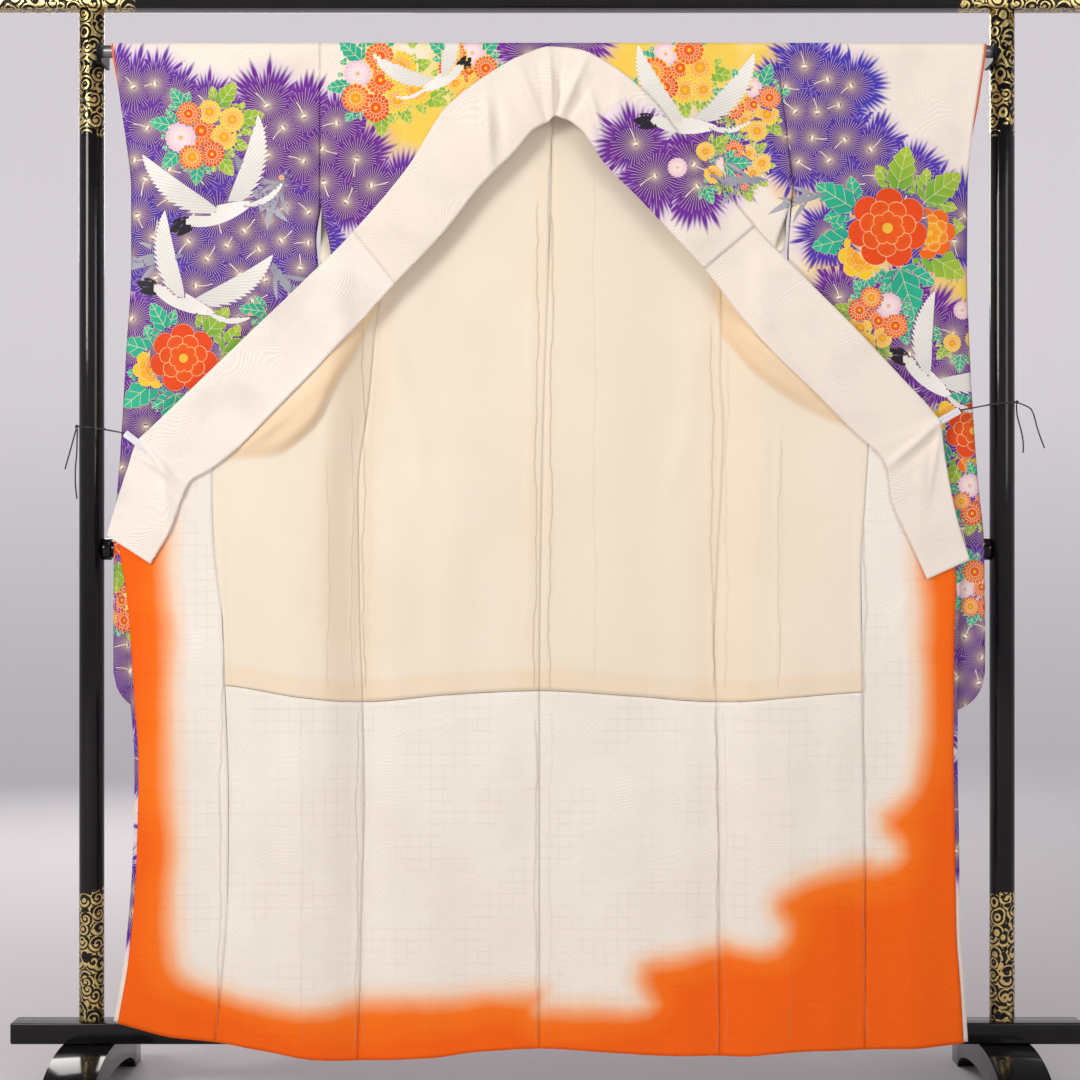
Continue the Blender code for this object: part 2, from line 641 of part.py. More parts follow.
def catmull_rom(points, step):
    """Points about a step apart on a smooth curve through the given ones."""
    knots = [Vector(point) for point in points]
    ends = [2 * knots[0] - knots[1]] + knots + [2 * knots[-1] - knots[-2]]
    route = []
    for i in range(len(knots) - 1):
        a, b, c, d = ends[i : i + 4]
        pieces = max(1, round((c - b).length / step))
        for j in range(pieces):
            t = j / pieces
            bend = (2 * a - 5 * b + 4 * c - d) * t**2 + (3 * b - a - 3 * c + d) * t**3
            route.append(0.5 * (2 * b + (c - a) * t + bend))
    return route + [knots[-1]]


def string(name, points, material):
    curve = bpy.data.curves.new(name, "CURVE")
    curve.dimensions = "3D"
    curve.bevel_depth = STRING_RADIUS
    curve.bevel_resolution = 2
    curve.use_fill_caps = True
    route = catmull_rom(points, STRING_STEP)
    spline = curve.splines.new("POLY")
    spline.points.add(len(route) - 1)
    for point, place in zip(spline.points, route):
        point.co = (*place, 1.0)
    return add_object(name, curve, material)


# The garment


def build_panels():
    """Back, fronts and overlap panels of outer silk, each with its lining laid on its inner face."""
    lower = even(ROWS_LOWER)
    upper = even(ROWS_UPPER, 1.0, 2.0)
    chest = list(CHEST_ROWS[1:])
    shoulder = even(ROWS_SHOULDER, 3.0, 4.0)
    face = even(ROWS_FACE, 4.0, 5.0)
    # The lining's two halves part at their seam
    part = 0.5 * SEAM_GAP
    lining_lower = lower[:-1] + [1.0 - part]
    lining_upper = [1.0 + part] + upper[1:]
    for side in ("left", "right"):

        def back(across, up):
            return back_point(side, across, up)

        def front(across, up):
            return front_point(side, "okumi", "side", across, up)

        def okumi(across, up):
            return front_point(side, "front_edge", "okumi", across, up)

        whole = lower + upper[1:] + chest + shoulder[1:] + face[1:]
        cloth(f"body_{side}", even(COLUMNS_BACK), whole, back, SILK, "dyed_silk")
        cloth(f"front_{side}", even(COLUMNS_FRONT), lower + upper[1:], front, SILK, "dyed_silk")
        cloth(f"okumi_{side}", COLUMNS_OKUMI, lower + upper[1:], okumi, SILK, "dyed_silk")
        over_rod = [row for row in shoulder[1:] if row <= LINING_END]
        back_rows = lining_upper + chest + over_rod
        back_lining = lifted(back, LINING_LIFT)
        front_lining = lifted(front, LINING_LIFT)
        okumi_lining = lifted(okumi, LINING_LIFT)
        cloth(f"lining_back_lower_{side}", even(COLUMNS_BACK), lining_lower, back_lining, LINING, "hem_silk")
        cloth(f"lining_back_upper_{side}", even(COLUMNS_BACK), back_rows, back_lining, LINING, "cream_silk")
        cloth(f"lining_front_lower_{side}", even(COLUMNS_FRONT), lining_lower, front_lining, LINING, "hem_silk")
        cloth(f"lining_front_upper_{side}", even(COLUMNS_FRONT), lining_upper, front_lining, LINING, "cream_silk")
        inset = COLUMNS_OKUMI[1:]
        cloth(f"lining_okumi_{side}", inset, lower + upper[1:], okumi_lining, LINING, "hem_silk")


def build_sleeves():
    low = even(SLEEVE_ROWS_LOW)
    high = even(SLEEVE_ROWS_HIGH, 1.0, 2.0)
    over = even(ROWS_SHOULDER, 2.0, 3.0)
    down_high = even(SLEEVE_ROWS_HIGH, 3.0, 4.0)
    down_low = even(SLEEVE_ROWS_LOW, 4.0, 5.0)
    around = low + high[1:] + over[1:] + down_high[1:] + down_low[1:]
    facing = even(4) + even(ROWS_SHOULDER, 1.0, 2.0)[1:] + even(4, 2.0, 3.0)[1:]
    for side in ("left", "right"):

        def bag(across, up):
            return sleeve_point(side, across, up)

        def cuff(across, up):
            return cuff_point(side, across, up)

        cloth(f"sleeve_{side}", SLEEVE_COLUMNS, around, bag, SILK, "dyed_silk")
        cloth(f"cuff_{side}", even(2), facing, cuff, LINING, "orange_silk")


def build_collar():
    """Two lengths that meet at the nape, and the over-collar on top of both."""
    last = len(COLLAR_BANDS) - 1
    half = 0.01  # a share of a section: the seam at the nape
    rows = even(COLLAR_ROWS)
    left = even(COLLAR_STEPS * COLLAR_MIDDLE, 0.0, COLLAR_MIDDLE)
    left[-1] -= half
    right = even(COLLAR_STEPS * (last - COLLAR_MIDDLE), COLLAR_MIDDLE, last)
    right[0] += half
    start, end = OVER_COLLAR_ENDS
    cloth("collar_left", rows, left, collar_point, COLLAR, "white_silk")
    cloth("collar_right", rows, right, collar_point, COLLAR, "white_silk")
    over = even(COLLAR_STEPS * (end - start), start, end)
    cloth("over_collar", rows, over, collar_face, OVER_COLLAR, "white_silk")


def collar_face(across, along):
    """The over-collar: the collar's own points, moved out."""
    step = 0.02
    low, high = max(across - step, 0.0), min(across + step, 1.0)
    over = collar_point(high, along) - collar_point(low, along)
    run = collar_point(across, along + step) - collar_point(across, along - step)
    normal = over.cross(run).normalized()
    return collar_point(across, along) + normal * math.copysign(OVER_LIFT, -normal.y)


# The stand


def build_stand():
    post_low, post_high = FOOT_RAIL_HIGH + GAP, TOP_RAIL_LOW - GAP
    for side, sign in (("left", -1), ("right", 1)):
        post = turned(
            f"post_{side}",
            [(post_high, 0.0), (post_high, POST_RADIUS), (post_low, POST_RADIUS), (post_low, 0.0)],
            28,
            "black_lacquer",
        )
        post.location.x = sign * POST_X
        foot = plate(f"foot_{side}", foot_outline(), FOOT_WIDTH, "black_lacquer")
        foot.rotation_euler = (math.pi / 2, 0.0, math.pi / 2)
        foot.location.x = sign * POST_X
        bracket = plate(f"bracket_{side}", bracket_outline(), BRACKET_THICK, "steel")
        bracket.rotation_euler = (math.pi / 2, 0.0, math.pi / 2)
        bracket.location = (sign * bracket_x(), 0.0, 0.0)
    rounded_bar(
        "foot_rail",
        (2 * FOOT_RAIL_HALF, FOOT_RAIL_DEPTH, FOOT_RAIL_HIGH - FOOT_RAIL_LOW),
        (0.0, 0.0, (FOOT_RAIL_HIGH + FOOT_RAIL_LOW) / 2),
        0.003,
        "black_lacquer",
    )
    rounded_bar(
        "top_rail",
        (2 * TOP_RAIL_HALF, TOP_RAIL_DEPTH, TOP_RAIL_HIGH - TOP_RAIL_LOW),
        (0.0, 0.0, (TOP_RAIL_HIGH + TOP_RAIL_LOW) / 2),
        0.006,
        "black_lacquer",
    )
    end = POST_X - POST_RADIUS - GAP
    inner = end - FERRULE_LENGTH
    mid_rail = turned(
        "mid_rail",
        [
            (end, 0.0), (end, FERRULE_RADIUS), (inner, FERRULE_RADIUS), (inner, MID_RAIL_RADIUS),
            (-inner, MID_RAIL_RADIUS), (-inner, FERRULE_RADIUS), (-end, FERRULE_RADIUS), (-end, 0.0),
        ],
        24,
        "black_lacquer",
    )
    mid_rail.rotation_euler.y = math.pi / 2
    mid_rail.location.z = MID_RAIL_Z
    reach = bracket_x() + BRACKET_THICK / 2
    rod = turned("rod", [(reach, 0.0), (reach, ROD_RADIUS), (-reach, ROD_RADIUS), (-reach, 0.0)], 24, "steel")
    rod.rotation_euler.y = math.pi / 2
    rod.location = (0.0, -ROD_DEPTH, ROD_Z)


def bracket_x():
    return POST_X - POST_RADIUS - GAP - BRACKET_THICK / 2


def foot_outline():
    """Side view of a foot: a low bridge with a flat pad at each end and a flat seat for the rail."""
    top = FOOT_RAIL_LOW - GAP
    slope = FOOT_HALF_LENGTH - FOOT_TOP_HALF
    bend = [i * math.pi / 20 for i in range(11)]
    fall = top - FOOT_TIP_HEIGHT
    back = [(FOOT_TOP_HALF + slope * math.sin(a), FOOT_TIP_HEIGHT + fall * math.cos(a)) for a in bend]
    arch = FOOT_HALF_LENGTH - FOOT_PAD
    under = [(arch * math.cos(2 * a), FOOT_ARCH_RISE * math.sin(2 * a)) for a in bend]
    front = [(-y, z) for y, z in reversed(back)]
    return back + [(FOOT_HALF_LENGTH, 0.0)] + under + [(-FOOT_HALF_LENGTH, 0.0)] + front


def bracket_outline():
    """Side view of a bracket: an arm from the post with an open cradle for the rod."""
    seat = ROD_RADIUS + GAP
    rim = seat + BRACKET_RIM
    turn = [math.pi + i * math.pi / 10 for i in range(11)]
    outside = [(-ROD_DEPTH + rim * math.cos(a), ROD_Z + rim * math.sin(a)) for a in turn[:6]]
    inside = [(-ROD_DEPTH + seat * math.cos(a), ROD_Z + seat * math.sin(a)) for a in reversed(turn)]
    lip = ROD_Z + ROD_RADIUS
    return (
        [(-ROD_DEPTH - rim, lip)]
        + outside
        + [(BRACKET_BACK, ROD_Z - rim), (BRACKET_BACK, lip), (-ROD_DEPTH + seat, lip)]
        + inside
        + [(-ROD_DEPTH - seat, lip)]
    )


# Clips and strings


def build_ties():
    for side, clip in CLIPS.items():
        outer = Vector((clip.outer_x, 0.0, clip.outer_z))
        inner = Vector((clip.inner_x, 0.0, clip.inner_z))
        middle = collar_depth_at(clip)
        length = (inner - outer).length
        slot = COLLAR / 2 + GAP
        plate_top, jaw_low = slot + CLIP_PLATE, -slot - CLIP_PLATE * 0.8
        outline = [
            (0.0, jaw_low), (CLIP_JAW, jaw_low), (CLIP_JAW, -slot), (CLIP_BRIDGE, -slot), (CLIP_BRIDGE, slot),
            (length, slot), (length, plate_top), (0.0, plate_top),
        ]
        body = plate(f"clip_{side}", outline, CLIP_WIDTH, "white_plastic")
        along = (inner - outer).normalized()
        forward = Vector((0.0, -1.0, 0.0))
        axes = Matrix((along, forward, along.cross(forward))).transposed().to_4x4()
        axes.translation = (clip.outer_x, -middle, clip.outer_z)
        body.matrix_world = axes
    for name, points in STRINGS.items():
        string(name, points, "black_string")
    for name, centre in KNOTS.items():
        shape = bmesh.new()
        bmesh.ops.create_uvsphere(shape, u_segments=10, v_segments=6, radius=KNOT_RADIUS)
        knot = mesh_object(name, shape, "black_string")
        knot.location = centre


def collar_depth_at(clip):
    """Depth of the collar's middle surface at its corner, where the clip bites."""
    section = 4 if clip.outer_x < 0 else 23
    return -collar_point(0.0, section).y


for old in list(bpy.data.objects):
    bpy.data.objects.remove(old, do_unlink=True)
materials = make_materials()
collection = bpy.data.collections.new("furisode_on_stand")
bpy.context.scene.collection.children.link(collection)
build_panels()
build_sleeves()
build_collar()
build_stand()
build_ties()
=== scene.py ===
# A furisode hung open on a lacquered stand: cloth, print, lacquer, ties, light and camera.
# Metres, +Z up. The viewer stands at -Y. Left is -X, as seen from the front.
import math

import bmesh
import bpy
import numpy as np
from mathutils import Matrix, Vector


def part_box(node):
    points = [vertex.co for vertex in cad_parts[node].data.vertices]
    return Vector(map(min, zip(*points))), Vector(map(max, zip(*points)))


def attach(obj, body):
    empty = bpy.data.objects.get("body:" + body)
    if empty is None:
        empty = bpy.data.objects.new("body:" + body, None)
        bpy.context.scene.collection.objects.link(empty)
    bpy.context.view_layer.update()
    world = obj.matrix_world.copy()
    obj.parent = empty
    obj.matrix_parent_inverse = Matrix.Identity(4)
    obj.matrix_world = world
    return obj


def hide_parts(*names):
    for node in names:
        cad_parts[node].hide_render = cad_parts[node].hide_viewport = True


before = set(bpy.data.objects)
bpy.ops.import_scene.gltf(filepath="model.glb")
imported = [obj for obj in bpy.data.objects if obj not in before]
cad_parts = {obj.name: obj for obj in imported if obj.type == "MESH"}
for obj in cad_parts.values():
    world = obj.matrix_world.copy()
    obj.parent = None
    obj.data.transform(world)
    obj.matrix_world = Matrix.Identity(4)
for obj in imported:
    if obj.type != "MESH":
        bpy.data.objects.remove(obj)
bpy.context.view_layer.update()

sides = ("left", "right")
signOf = {"left": -1.0, "right": 1.0}


def capital(side):
    return side.capitalize()


# Camera: level, opposite the middle of the garment
cameraSettings = {"x": -0.0108, "y": -3.56, "z": 0.8615, "lensMm": 75.8, "sensorMm": 36.0}
cameraData = bpy.data.cameras.new("photoCamera")
cameraData.lens = cameraSettings["lensMm"]
cameraData.sensor_width = cameraSettings["sensorMm"]
camera = bpy.data.objects.new("photoCamera", cameraData)
camera.location = (cameraSettings["x"], cameraSettings["y"], cameraSettings["z"])
camera.rotation_euler = (math.pi / 2, 0.0, 0.0)
bpy.context.scene.collection.objects.link(camera)
bpy.context.scene.camera = camera
print("camera placed")


# Colours and nodes

def linear(hexColour):
    # sRGB hex to the linear values that Blender's sockets take
    parts = [int(hexColour[i:i + 2], 16) / 255 for i in (1, 3, 5)]
    return tuple(c / 12.92 if c <= 0.04045 else ((c + 0.055) / 1.055) ** 2.4 for c in parts)


def rgba(hexColour):
    return (*linear(hexColour), 1.0)


def addNode(tree, kind, settings=None, inputs=None):
    # one node: its settings, then its inputs, each a value or another node's output
    made = tree.nodes.new(kind)
    for name, value in (settings or {}).items():
        setattr(made, name, value)
    for name, value in (inputs or {}).items():
        socket = made.inputs[name]
        if isinstance(value, bpy.types.NodeSocket):
            tree.links.new(value, socket)
        else:
            socket.default_value = value
    return made


def addSteps(tree, known, rows):
    # a table of nodes: each row names its result, a sum or a BLEND (share, colour at 0, colour at 1), and
    # what goes in: a number, a hex colour, or an earlier result's name
    for name, does, *given in rows:
        kind, settings, slots, out = "ShaderNodeMath", {"operation": does}, (0, 1, 2), 0
        if does == "BLEND":
            kind, settings, slots, out = "ShaderNodeMix", {"data_type": "RGBA"}, (0, 6, 7), 2
        inputs = {}
        for slot, value in zip(slots, given):
            if isinstance(value, str):
                value = rgba(value) if value.startswith("#") else known[value]
            inputs[slot] = value
        known[name] = addNode(tree, kind, settings, inputs).outputs[out]


def softStep(name, value, start, end):
    # rows that rise from 0 at start to 1 at end
    return [(name + "Raw", "MULTIPLY_ADD", value, 1 / (end - start), -start / (end - start)),
            (name + "Low", "MAXIMUM", name + "Raw", 0.0), (name, "MINIMUM", name + "Low", 1.0)]


def newMaterial(name, **sockets):
    material = bpy.data.materials.new(name)
    material.use_nodes = True
    tree = material.node_tree
    shader = tree.nodes["Principled BSDF"]
    for socket, value in sockets.items():
        shader.inputs[socket.replace("_", " ")].default_value = value
    return material, tree, shader


# The hung garment's shape: the same seams, folds and depths as the solids
hung = {
    "rodDepth": 0.05, "shoulderTop": 1.629, "shoulderRadius": 0.0135, "silkWall": 0.0015,
    "liningLift": 0.00185, "collarDepth": 0.066, "collarWall": 0.002, "collarClear": 0.0018,
    "collarBlend": 0.004, "overLift": 0.00205, "seamGap": 0.0001, "rampStart": -0.012, "rampEnd": 0.062,
    "chestFade": 0.1, "backSettles": 0.2, "tuckEdge": 0.022, "tuckPlateau": 0.03, "tuckFade": 0.08,
    "hideNape": 0.02, "hideSide": 0.035, "napeBelly": 0.006, "napeReach": 0.16, "nibX": 0.012,
    "nibHalf": 0.008, "nibRise": 0.007, "liningClear": 0.0006, "settleTurns": 12,
}
shoulderZ = hung["shoulderTop"] - hung["shoulderRadius"] - hung["silkWall"] / 2
backDepth = hung["rodDepth"] - hung["shoulderRadius"]

# Seams as (height, x) up each side
seamRows = {
    "left": {
        "frontEdge": [(0.12, -0.668), (0.218, -0.651), (0.368, -0.638), (0.518, -0.634), (0.615, -0.64),
                      (0.769, -0.651), (0.854, -0.663), (0.923, -0.64), (1.0, -0.608)],
        "okumi": [(0.09, -0.511), (0.185, -0.5), (0.308, -0.491), (0.462, -0.489), (0.631, -0.494),
                  (0.738, -0.498), (0.854, -0.511), (0.954, -0.514), (1.05, -0.512)],
        "side": [(0.058, -0.292), (0.308, -0.286), (0.462, -0.282), (0.615, -0.285), (0.738, -0.289),
                 (0.938, -0.292), (1.083, -0.275), (1.217, -0.263), (1.255, -0.259), (1.291, -0.3495),
                 (1.34, -0.3497), (1.39, -0.3487), (1.629, -0.3487)],
        "face": [(1.23, -0.326), (1.306, -0.333), (1.39, -0.3487), (1.629, -0.3487)],
        "sleeveInner": [(0.597, -0.352), (1.28, -0.354), (1.325, -0.357), (1.39, -0.3487),
                        (1.629, -0.3487)],
        "sleeveOuter": [(0.597, -0.668), (0.692, -0.669), (0.854, -0.668), (1.0, -0.658), (1.154, -0.649),
                        (1.285, -0.6415), (1.4, -0.6415), (1.491, -0.651), (1.629, -0.668)],
    },
    "right": {
        "frontEdge": [(0.088, 0.649), (0.18, 0.643), (0.255, 0.637), (0.405, 0.634), (0.554, 0.631),
                      (0.708, 0.632), (0.8, 0.635), (0.862, 0.62), (1.0, 0.592)],
        "okumi": [(0.078, 0.491), (0.308, 0.491), (0.462, 0.488), (0.628, 0.485), (0.815, 0.482),
                  (0.923, 0.489), (1.005, 0.494), (1.08, 0.497)],
        "side": [(0.065, 0.268), (0.262, 0.268), (0.462, 0.266), (0.615, 0.263), (0.708, 0.26),
                 (0.831, 0.265), (1.04, 0.274), (1.122, 0.269), (1.235, 0.271), (1.275, 0.271),
                 (1.309, 0.366), (1.35, 0.37), (1.405, 0.3776), (1.415, 0.3764), (1.629, 0.351)],
        "face": [(1.23, 0.343), (1.308, 0.351), (1.405, 0.3776), (1.415, 0.3764), (1.629, 0.351)],
        "sleeveInner": [(0.597, 0.368), (1.3, 0.372), (1.405, 0.3776), (1.415, 0.3764), (1.629, 0.351)],
        "sleeveOuter": [(0.597, 0.675), (0.708, 0.676), (0.862, 0.674), (0.923, 0.668), (1.0, 0.661),
                        (1.154, 0.652), (1.277, 0.648), (1.415, 0.649), (1.629, 0.674)],
    },
}
centreRows = [(0.077, -0.011), (0.628, -0.011), (1.0, -0.006), (1.492, 0.008), (1.629, 0.005)]
cuffEnd = {"left": 1.491, "right": 1.415}
sideTop = {"left": 1.255, "right": 1.275}
# Edges as (x, height) across the garment
hemRows = [(-0.668, 0.12), (-0.58, 0.098), (-0.509, 0.089), (-0.428, 0.075), (-0.357, 0.062),
           (-0.294, 0.058), (-0.18, 0.062), (-0.097, 0.072), (-0.011, 0.076), (0.105, 0.07),
           (0.191, 0.065), (0.283, 0.065), (0.385, 0.075), (0.492, 0.078), (0.563, 0.08), (0.646, 0.088)]
liningSeamRows = [(-0.64, 0.645), (-0.494, 0.638), (-0.38, 0.62), (-0.285, 0.611), (-0.15, 0.622),
                  (-0.011, 0.628), (0.13, 0.62), (0.263, 0.611), (0.38, 0.62), (0.485, 0.628),
                  (0.632, 0.635)]
frontTopRows = [(-0.62, 0.955), (-0.575, 0.975), (-0.535, 0.998), (-0.495, 1.024), (-0.42, 1.092),
                (-0.34, 1.168), (-0.3, 1.209), (-0.258, 1.255), (0.271, 1.275), (0.312, 1.225),
                (0.398, 1.136), (0.466, 1.068), (0.525, 1.008), (0.56, 0.982), (0.6, 0.965)]
# The collar's two edges, section by section: sewn edge x, z and free edge x, z
collarRows = [
    (-0.675, 0.868, -0.608, 0.825), (-0.66, 0.92, -0.576, 0.88), (-0.642, 0.975, -0.56, 0.925),
    (-0.63, 1.01, -0.545, 0.953), (-0.608, 1.033, -0.52, 0.967), (-0.56, 1.079, -0.48, 0.997),
    (-0.47, 1.166, -0.4, 1.078), (-0.377, 1.255, -0.32, 1.16), (-0.298, 1.335, -0.234, 1.255),
    (-0.215, 1.433, -0.165, 1.327), (-0.155, 1.526, -0.1, 1.408), (-0.095, 1.574, -0.05, 1.458),
    (-0.045, 1.603, -0.018, 1.494), (0.004, 1.619, 0.004, 1.503), (0.048, 1.615, 0.026, 1.508),
    (0.097, 1.592, 0.052, 1.492), (0.1585, 1.542, 0.092, 1.436), (0.205, 1.482, 0.143, 1.385),
    (0.262, 1.412, 0.193, 1.331), (0.3185, 1.343, 0.2415, 1.278), (0.4, 1.259, 0.33, 1.166),
    (0.4815, 1.177, 0.41, 1.087), (0.548, 1.106, 0.47, 1.028), (0.588, 1.063, 0.512, 0.99),
    (0.603, 1.04, 0.522, 0.97), (0.61, 0.99, 0.528, 0.925), (0.626, 0.905, 0.558, 0.856),
    (0.648, 0.831, 0.583, 0.8015),
]
collarMiddle, overCollarEnds = 13, (8, 19)
tuckRows = {
    "left": [(-0.495, 0.9815), (-0.417, 0.989), (-0.383, 1.009), (-0.352, 1.0415), (-0.329, 1.091),
             (-0.297, 1.143), (-0.262, 1.217)],
    "right": [(0.262, 1.217), (0.27, 1.176), (0.286, 1.155), (0.317, 1.117), (0.345, 1.094),
              (0.377, 1.072), (0.437, 1.04), (0.47, 1.03)],
}
tuckRise = {
    "left": [(-0.51, 0.0), (-0.44, 0.006), (-0.37, 0.014), (-0.31, 0.008), (-0.262, 0.0)],
    "right": [(0.262, 0.0), (0.3, 0.008), (0.35, 0.013), (0.42, 0.007), (0.48, 0.0)],
}
forwardRows = [(0.05, 0.016), (0.4, 0.023), (0.65, 0.029), (1.3, 0.031)]
# Soft folds: top x, z, foot x, z, half width, how far forward
foldRows = [
    (-0.12, 1.42, -0.175, 0.3, 0.045, 0.005), (0.105, 1.4, 0.12, 0.25, 0.05, 0.0045),
    (-0.225, 1.1, -0.245, 0.06, 0.03, 0.004), (0.215, 1.12, 0.215, 0.06, 0.03, 0.004),
    (-0.06, 0.9, -0.075, 0.05, 0.045, 0.0035), (0.06, 0.8, 0.065, 0.05, 0.04, 0.0035),
    (-0.375, 0.95, -0.385, 0.06, 0.035, 0.006), (-0.45, 0.86, -0.455, 0.08, 0.03, 0.0045),
    (-0.575, 0.84, -0.58, 0.1, 0.035, 0.005), (0.385, 0.96, 0.37, 0.07, 0.04, 0.0055),
    (0.445, 0.9, 0.44, 0.07, 0.03, 0.004), (0.56, 0.84, 0.565, 0.08, 0.035, 0.005),
]
foldFade = 0.48
# Small creases: one end x, z, other end x, z, half width, how far forward
creaseRows = [
    (-0.022, 1.34, -0.03, 0.65, 0.0045, 0.0016), (0.006, 1.3, 0.0, 0.64, 0.004, 0.0014),
    (-0.278, 1.06, -0.283, 0.64, 0.005, 0.002), (-0.3, 0.98, -0.302, 0.64, 0.004, 0.0012),
    (0.252, 1.13, 0.255, 0.64, 0.005, 0.0018), (0.283, 1.0, 0.276, 0.64, 0.004, 0.0012),
    (0.357, 1.06, 0.354, 0.64, 0.004, 0.0014), (-0.335, 1.0, -0.337, 0.64, 0.0045, 0.0009),
    (-0.5, 0.96, -0.483, 0.12, 0.004, 0.0014), (0.48, 1.0, 0.482, 0.12, 0.004, 0.0014),
    (-0.29, 0.6, -0.293, 0.08, 0.0045, 0.0014), (0.259, 0.6, 0.262, 0.08, 0.0045, 0.0014),
    (-0.018, 0.61, -0.018, 0.09, 0.0045, 0.0014), (0.006, 0.48, 0.002, 0.09, 0.004, 0.0008),
    (-0.445, 1.01, -0.33, 1.12, 0.008, 0.003), (-0.47, 0.998, -0.395, 1.05, 0.007, 0.0026),
    (0.3, 1.18, 0.42, 1.072, 0.008, 0.003), (0.33, 1.15, 0.455, 1.058, 0.006, 0.002),
    (-0.24, 1.2, -0.18, 0.9, 0.016, 0.0026), (0.24, 1.19, 0.19, 0.9, 0.016, 0.0024),
    (0.09, 0.47, 0.33, 0.5, 0.012, 0.0008), (-0.25, 0.56, -0.06, 0.6, 0.012, 0.001),
    (0.56, 0.78, 0.52, 0.7, 0.01, 0.0016), (-0.59, 0.76, -0.56, 0.64, 0.01, 0.0016),
]


def mix(a, b, t):
    return a + (b - a) * t


def ease(value, start, end):
    t = np.clip((value - start) / (end - start), 0.0, 1.0)
    return t * t * (3 - 2 * t)


def smooth(rows):
    # a curve through a table's rows that never swings past them, for whole arrays at once
    keys, values = np.array(sorted(rows), float).T
    steps = np.diff(values) / np.diff(keys)
    alike = steps[:-1] * steps[1:] > 0
    total = np.where(alike, steps[:-1] + steps[1:], 1.0)
    inner = np.where(alike, 2 * steps[:-1] * steps[1:] / total, 0.0)
    slopes = np.concatenate([steps[:1], inner, steps[-1:]])

    def at(where):
        where = np.asarray(where, float)
        low = np.clip(np.searchsorted(keys, where, side="right") - 1, 0, len(keys) - 2)
        span = keys[low + 1] - keys[low]
        reach = (where - keys[low]) / span
        t = np.clip(reach, 0.0, 1.0)
        leave, arrive = slopes[low] * span, slopes[low + 1] * span
        inside = (values[low] * (1 + 2 * t) * (1 - t) ** 2 + leave * t * (1 - t) ** 2
                  + values[low + 1] * t * t * (3 - 2 * t) + arrive * t * t * (t - 1))
        return inside + (reach - t) * np.where(reach < 0, leave, arrive)

    return at


seam = {side: {name: smooth(rows) for name, rows in table.items()} for side, table in seamRows.items()}
for side in sides:
    seam[side]["centre"] = smooth(centreRows)
hem, liningSeam, frontTop = smooth(hemRows), smooth(liningSeamRows), smooth(frontTopRows)
tuckLine = {side: smooth(rows) for side, rows in tuckRows.items()}
tuckHeight = {side: smooth(rows) for side, rows in tuckRise.items()}
forward = smooth(forwardRows)
collarBand = [smooth(list(enumerate(column))) for column in zip(*collarRows)]
collarOuter = smooth([row[:2] for row in collarRows[5:24]])


def creases(x, z):
    depth = np.zeros_like(x)
    for startX, startZ, endX, endZ, reach, rise in creaseRows:
        runX, runZ = endX - startX, endZ - startZ
        length = math.hypot(runX, runZ)
        along = ((x - startX) * runX + (z - startZ) * runZ) / length**2
        off = ((x - startX) * runZ - (z - startZ) * runX) / length
        off = off + 0.35 * reach * np.sin(29 * along * length + 40 * startX)
        ends = ease(along, -0.02, 0.14) * (1 - ease(along, 0.8, 1.02))
        depth += rise * ends * np.exp(-((off / reach) ** 2))
    return depth


def ripple(x, z):
    # the slack of hanging silk: slow waves a millimetre deep, longer than they are wide
    wave = np.sin(31 * x + 2.1 * np.sin(2.3 * z + 0.7))
    wave = wave + 0.6 * np.sin(57 * x - 3.1 * z + 1.9 * np.sin(4.1 * z))
    wave = wave + 0.4 * np.sin(13 * z + 9 * x)
    return 0.0005 * (wave + 2.0)


def clothDepth(x, z):
    # how far toward the viewer the silk hangs, back and opened fronts alike
    depth = backDepth + creases(x, z) + ripple(x, z) * (1 - ease(z, 1.35, 1.5))
    for topX, topZ, footX, footZ, reach, rise in foldRows:
        down = (topZ - z) / (topZ - footZ)
        off = (x - mix(topX, footX, np.maximum(down, 0))) / reach
        depth = depth + rise * ease(down, 0.0, foldFade) * np.exp(-off * off)
    for side in sides:
        here = (x < 0) if side == "left" else (x >= 0)
        outward = np.abs(x) - np.abs(seam[side]["side"](np.minimum(z, sideTop[side])))
        belowChest = 1 - ease(z, sideTop[side], sideTop[side] + hung["chestFade"])
        swing = forward(z) * ease(outward, hung["rampStart"], hung["rampEnd"]) * belowChest
        above = z - tuckLine[side](x)
        roll = ease(above, 0.0, hung["tuckEdge"])
        roll = roll * (1 - ease(above, hung["tuckPlateau"], hung["tuckPlateau"] + hung["tuckFade"]))
        depth = depth + np.where(here, swing + np.maximum(tuckHeight[side](x), 0) * roll, 0.0)
    return depth


def acrossSeams(outer, inner, across, z):
    start, end = outer(z), inner(z)
    inset = np.copysign(hung["seamGap"] / 2, end - start)
    return mix(start + inset, end - inset, across)


def settle(outer, inner, across, heightAt):
    # the point that is a share of the way between two seams, at the height its own x calls for
    z = np.ones_like(across)
    for _ in range(hung["settleTurns"]):
        x = acrossSeams(outer, inner, across, z)
        z = heightAt(x)
    return x, z


def pile(x, y, z):
    return np.stack(np.broadcast_arrays(x, y, z), axis=-1)


def frontSurface(side, outer, inner):
    # an opened front; up runs 0 to 1 from hem to lining seam, then 1 to 2 up to the collar
    def surface(across, up):
        def heightAt(x):
            return np.where(up <= 1, mix(hem(x), liningSeam(x), up), mix(liningSeam(x), frontTop(x), up - 1))

        x, z = settle(seam[side][outer], seam[side][inner], across, heightAt)
        return pile(x, -clothDepth(x, z), z)

    return surface


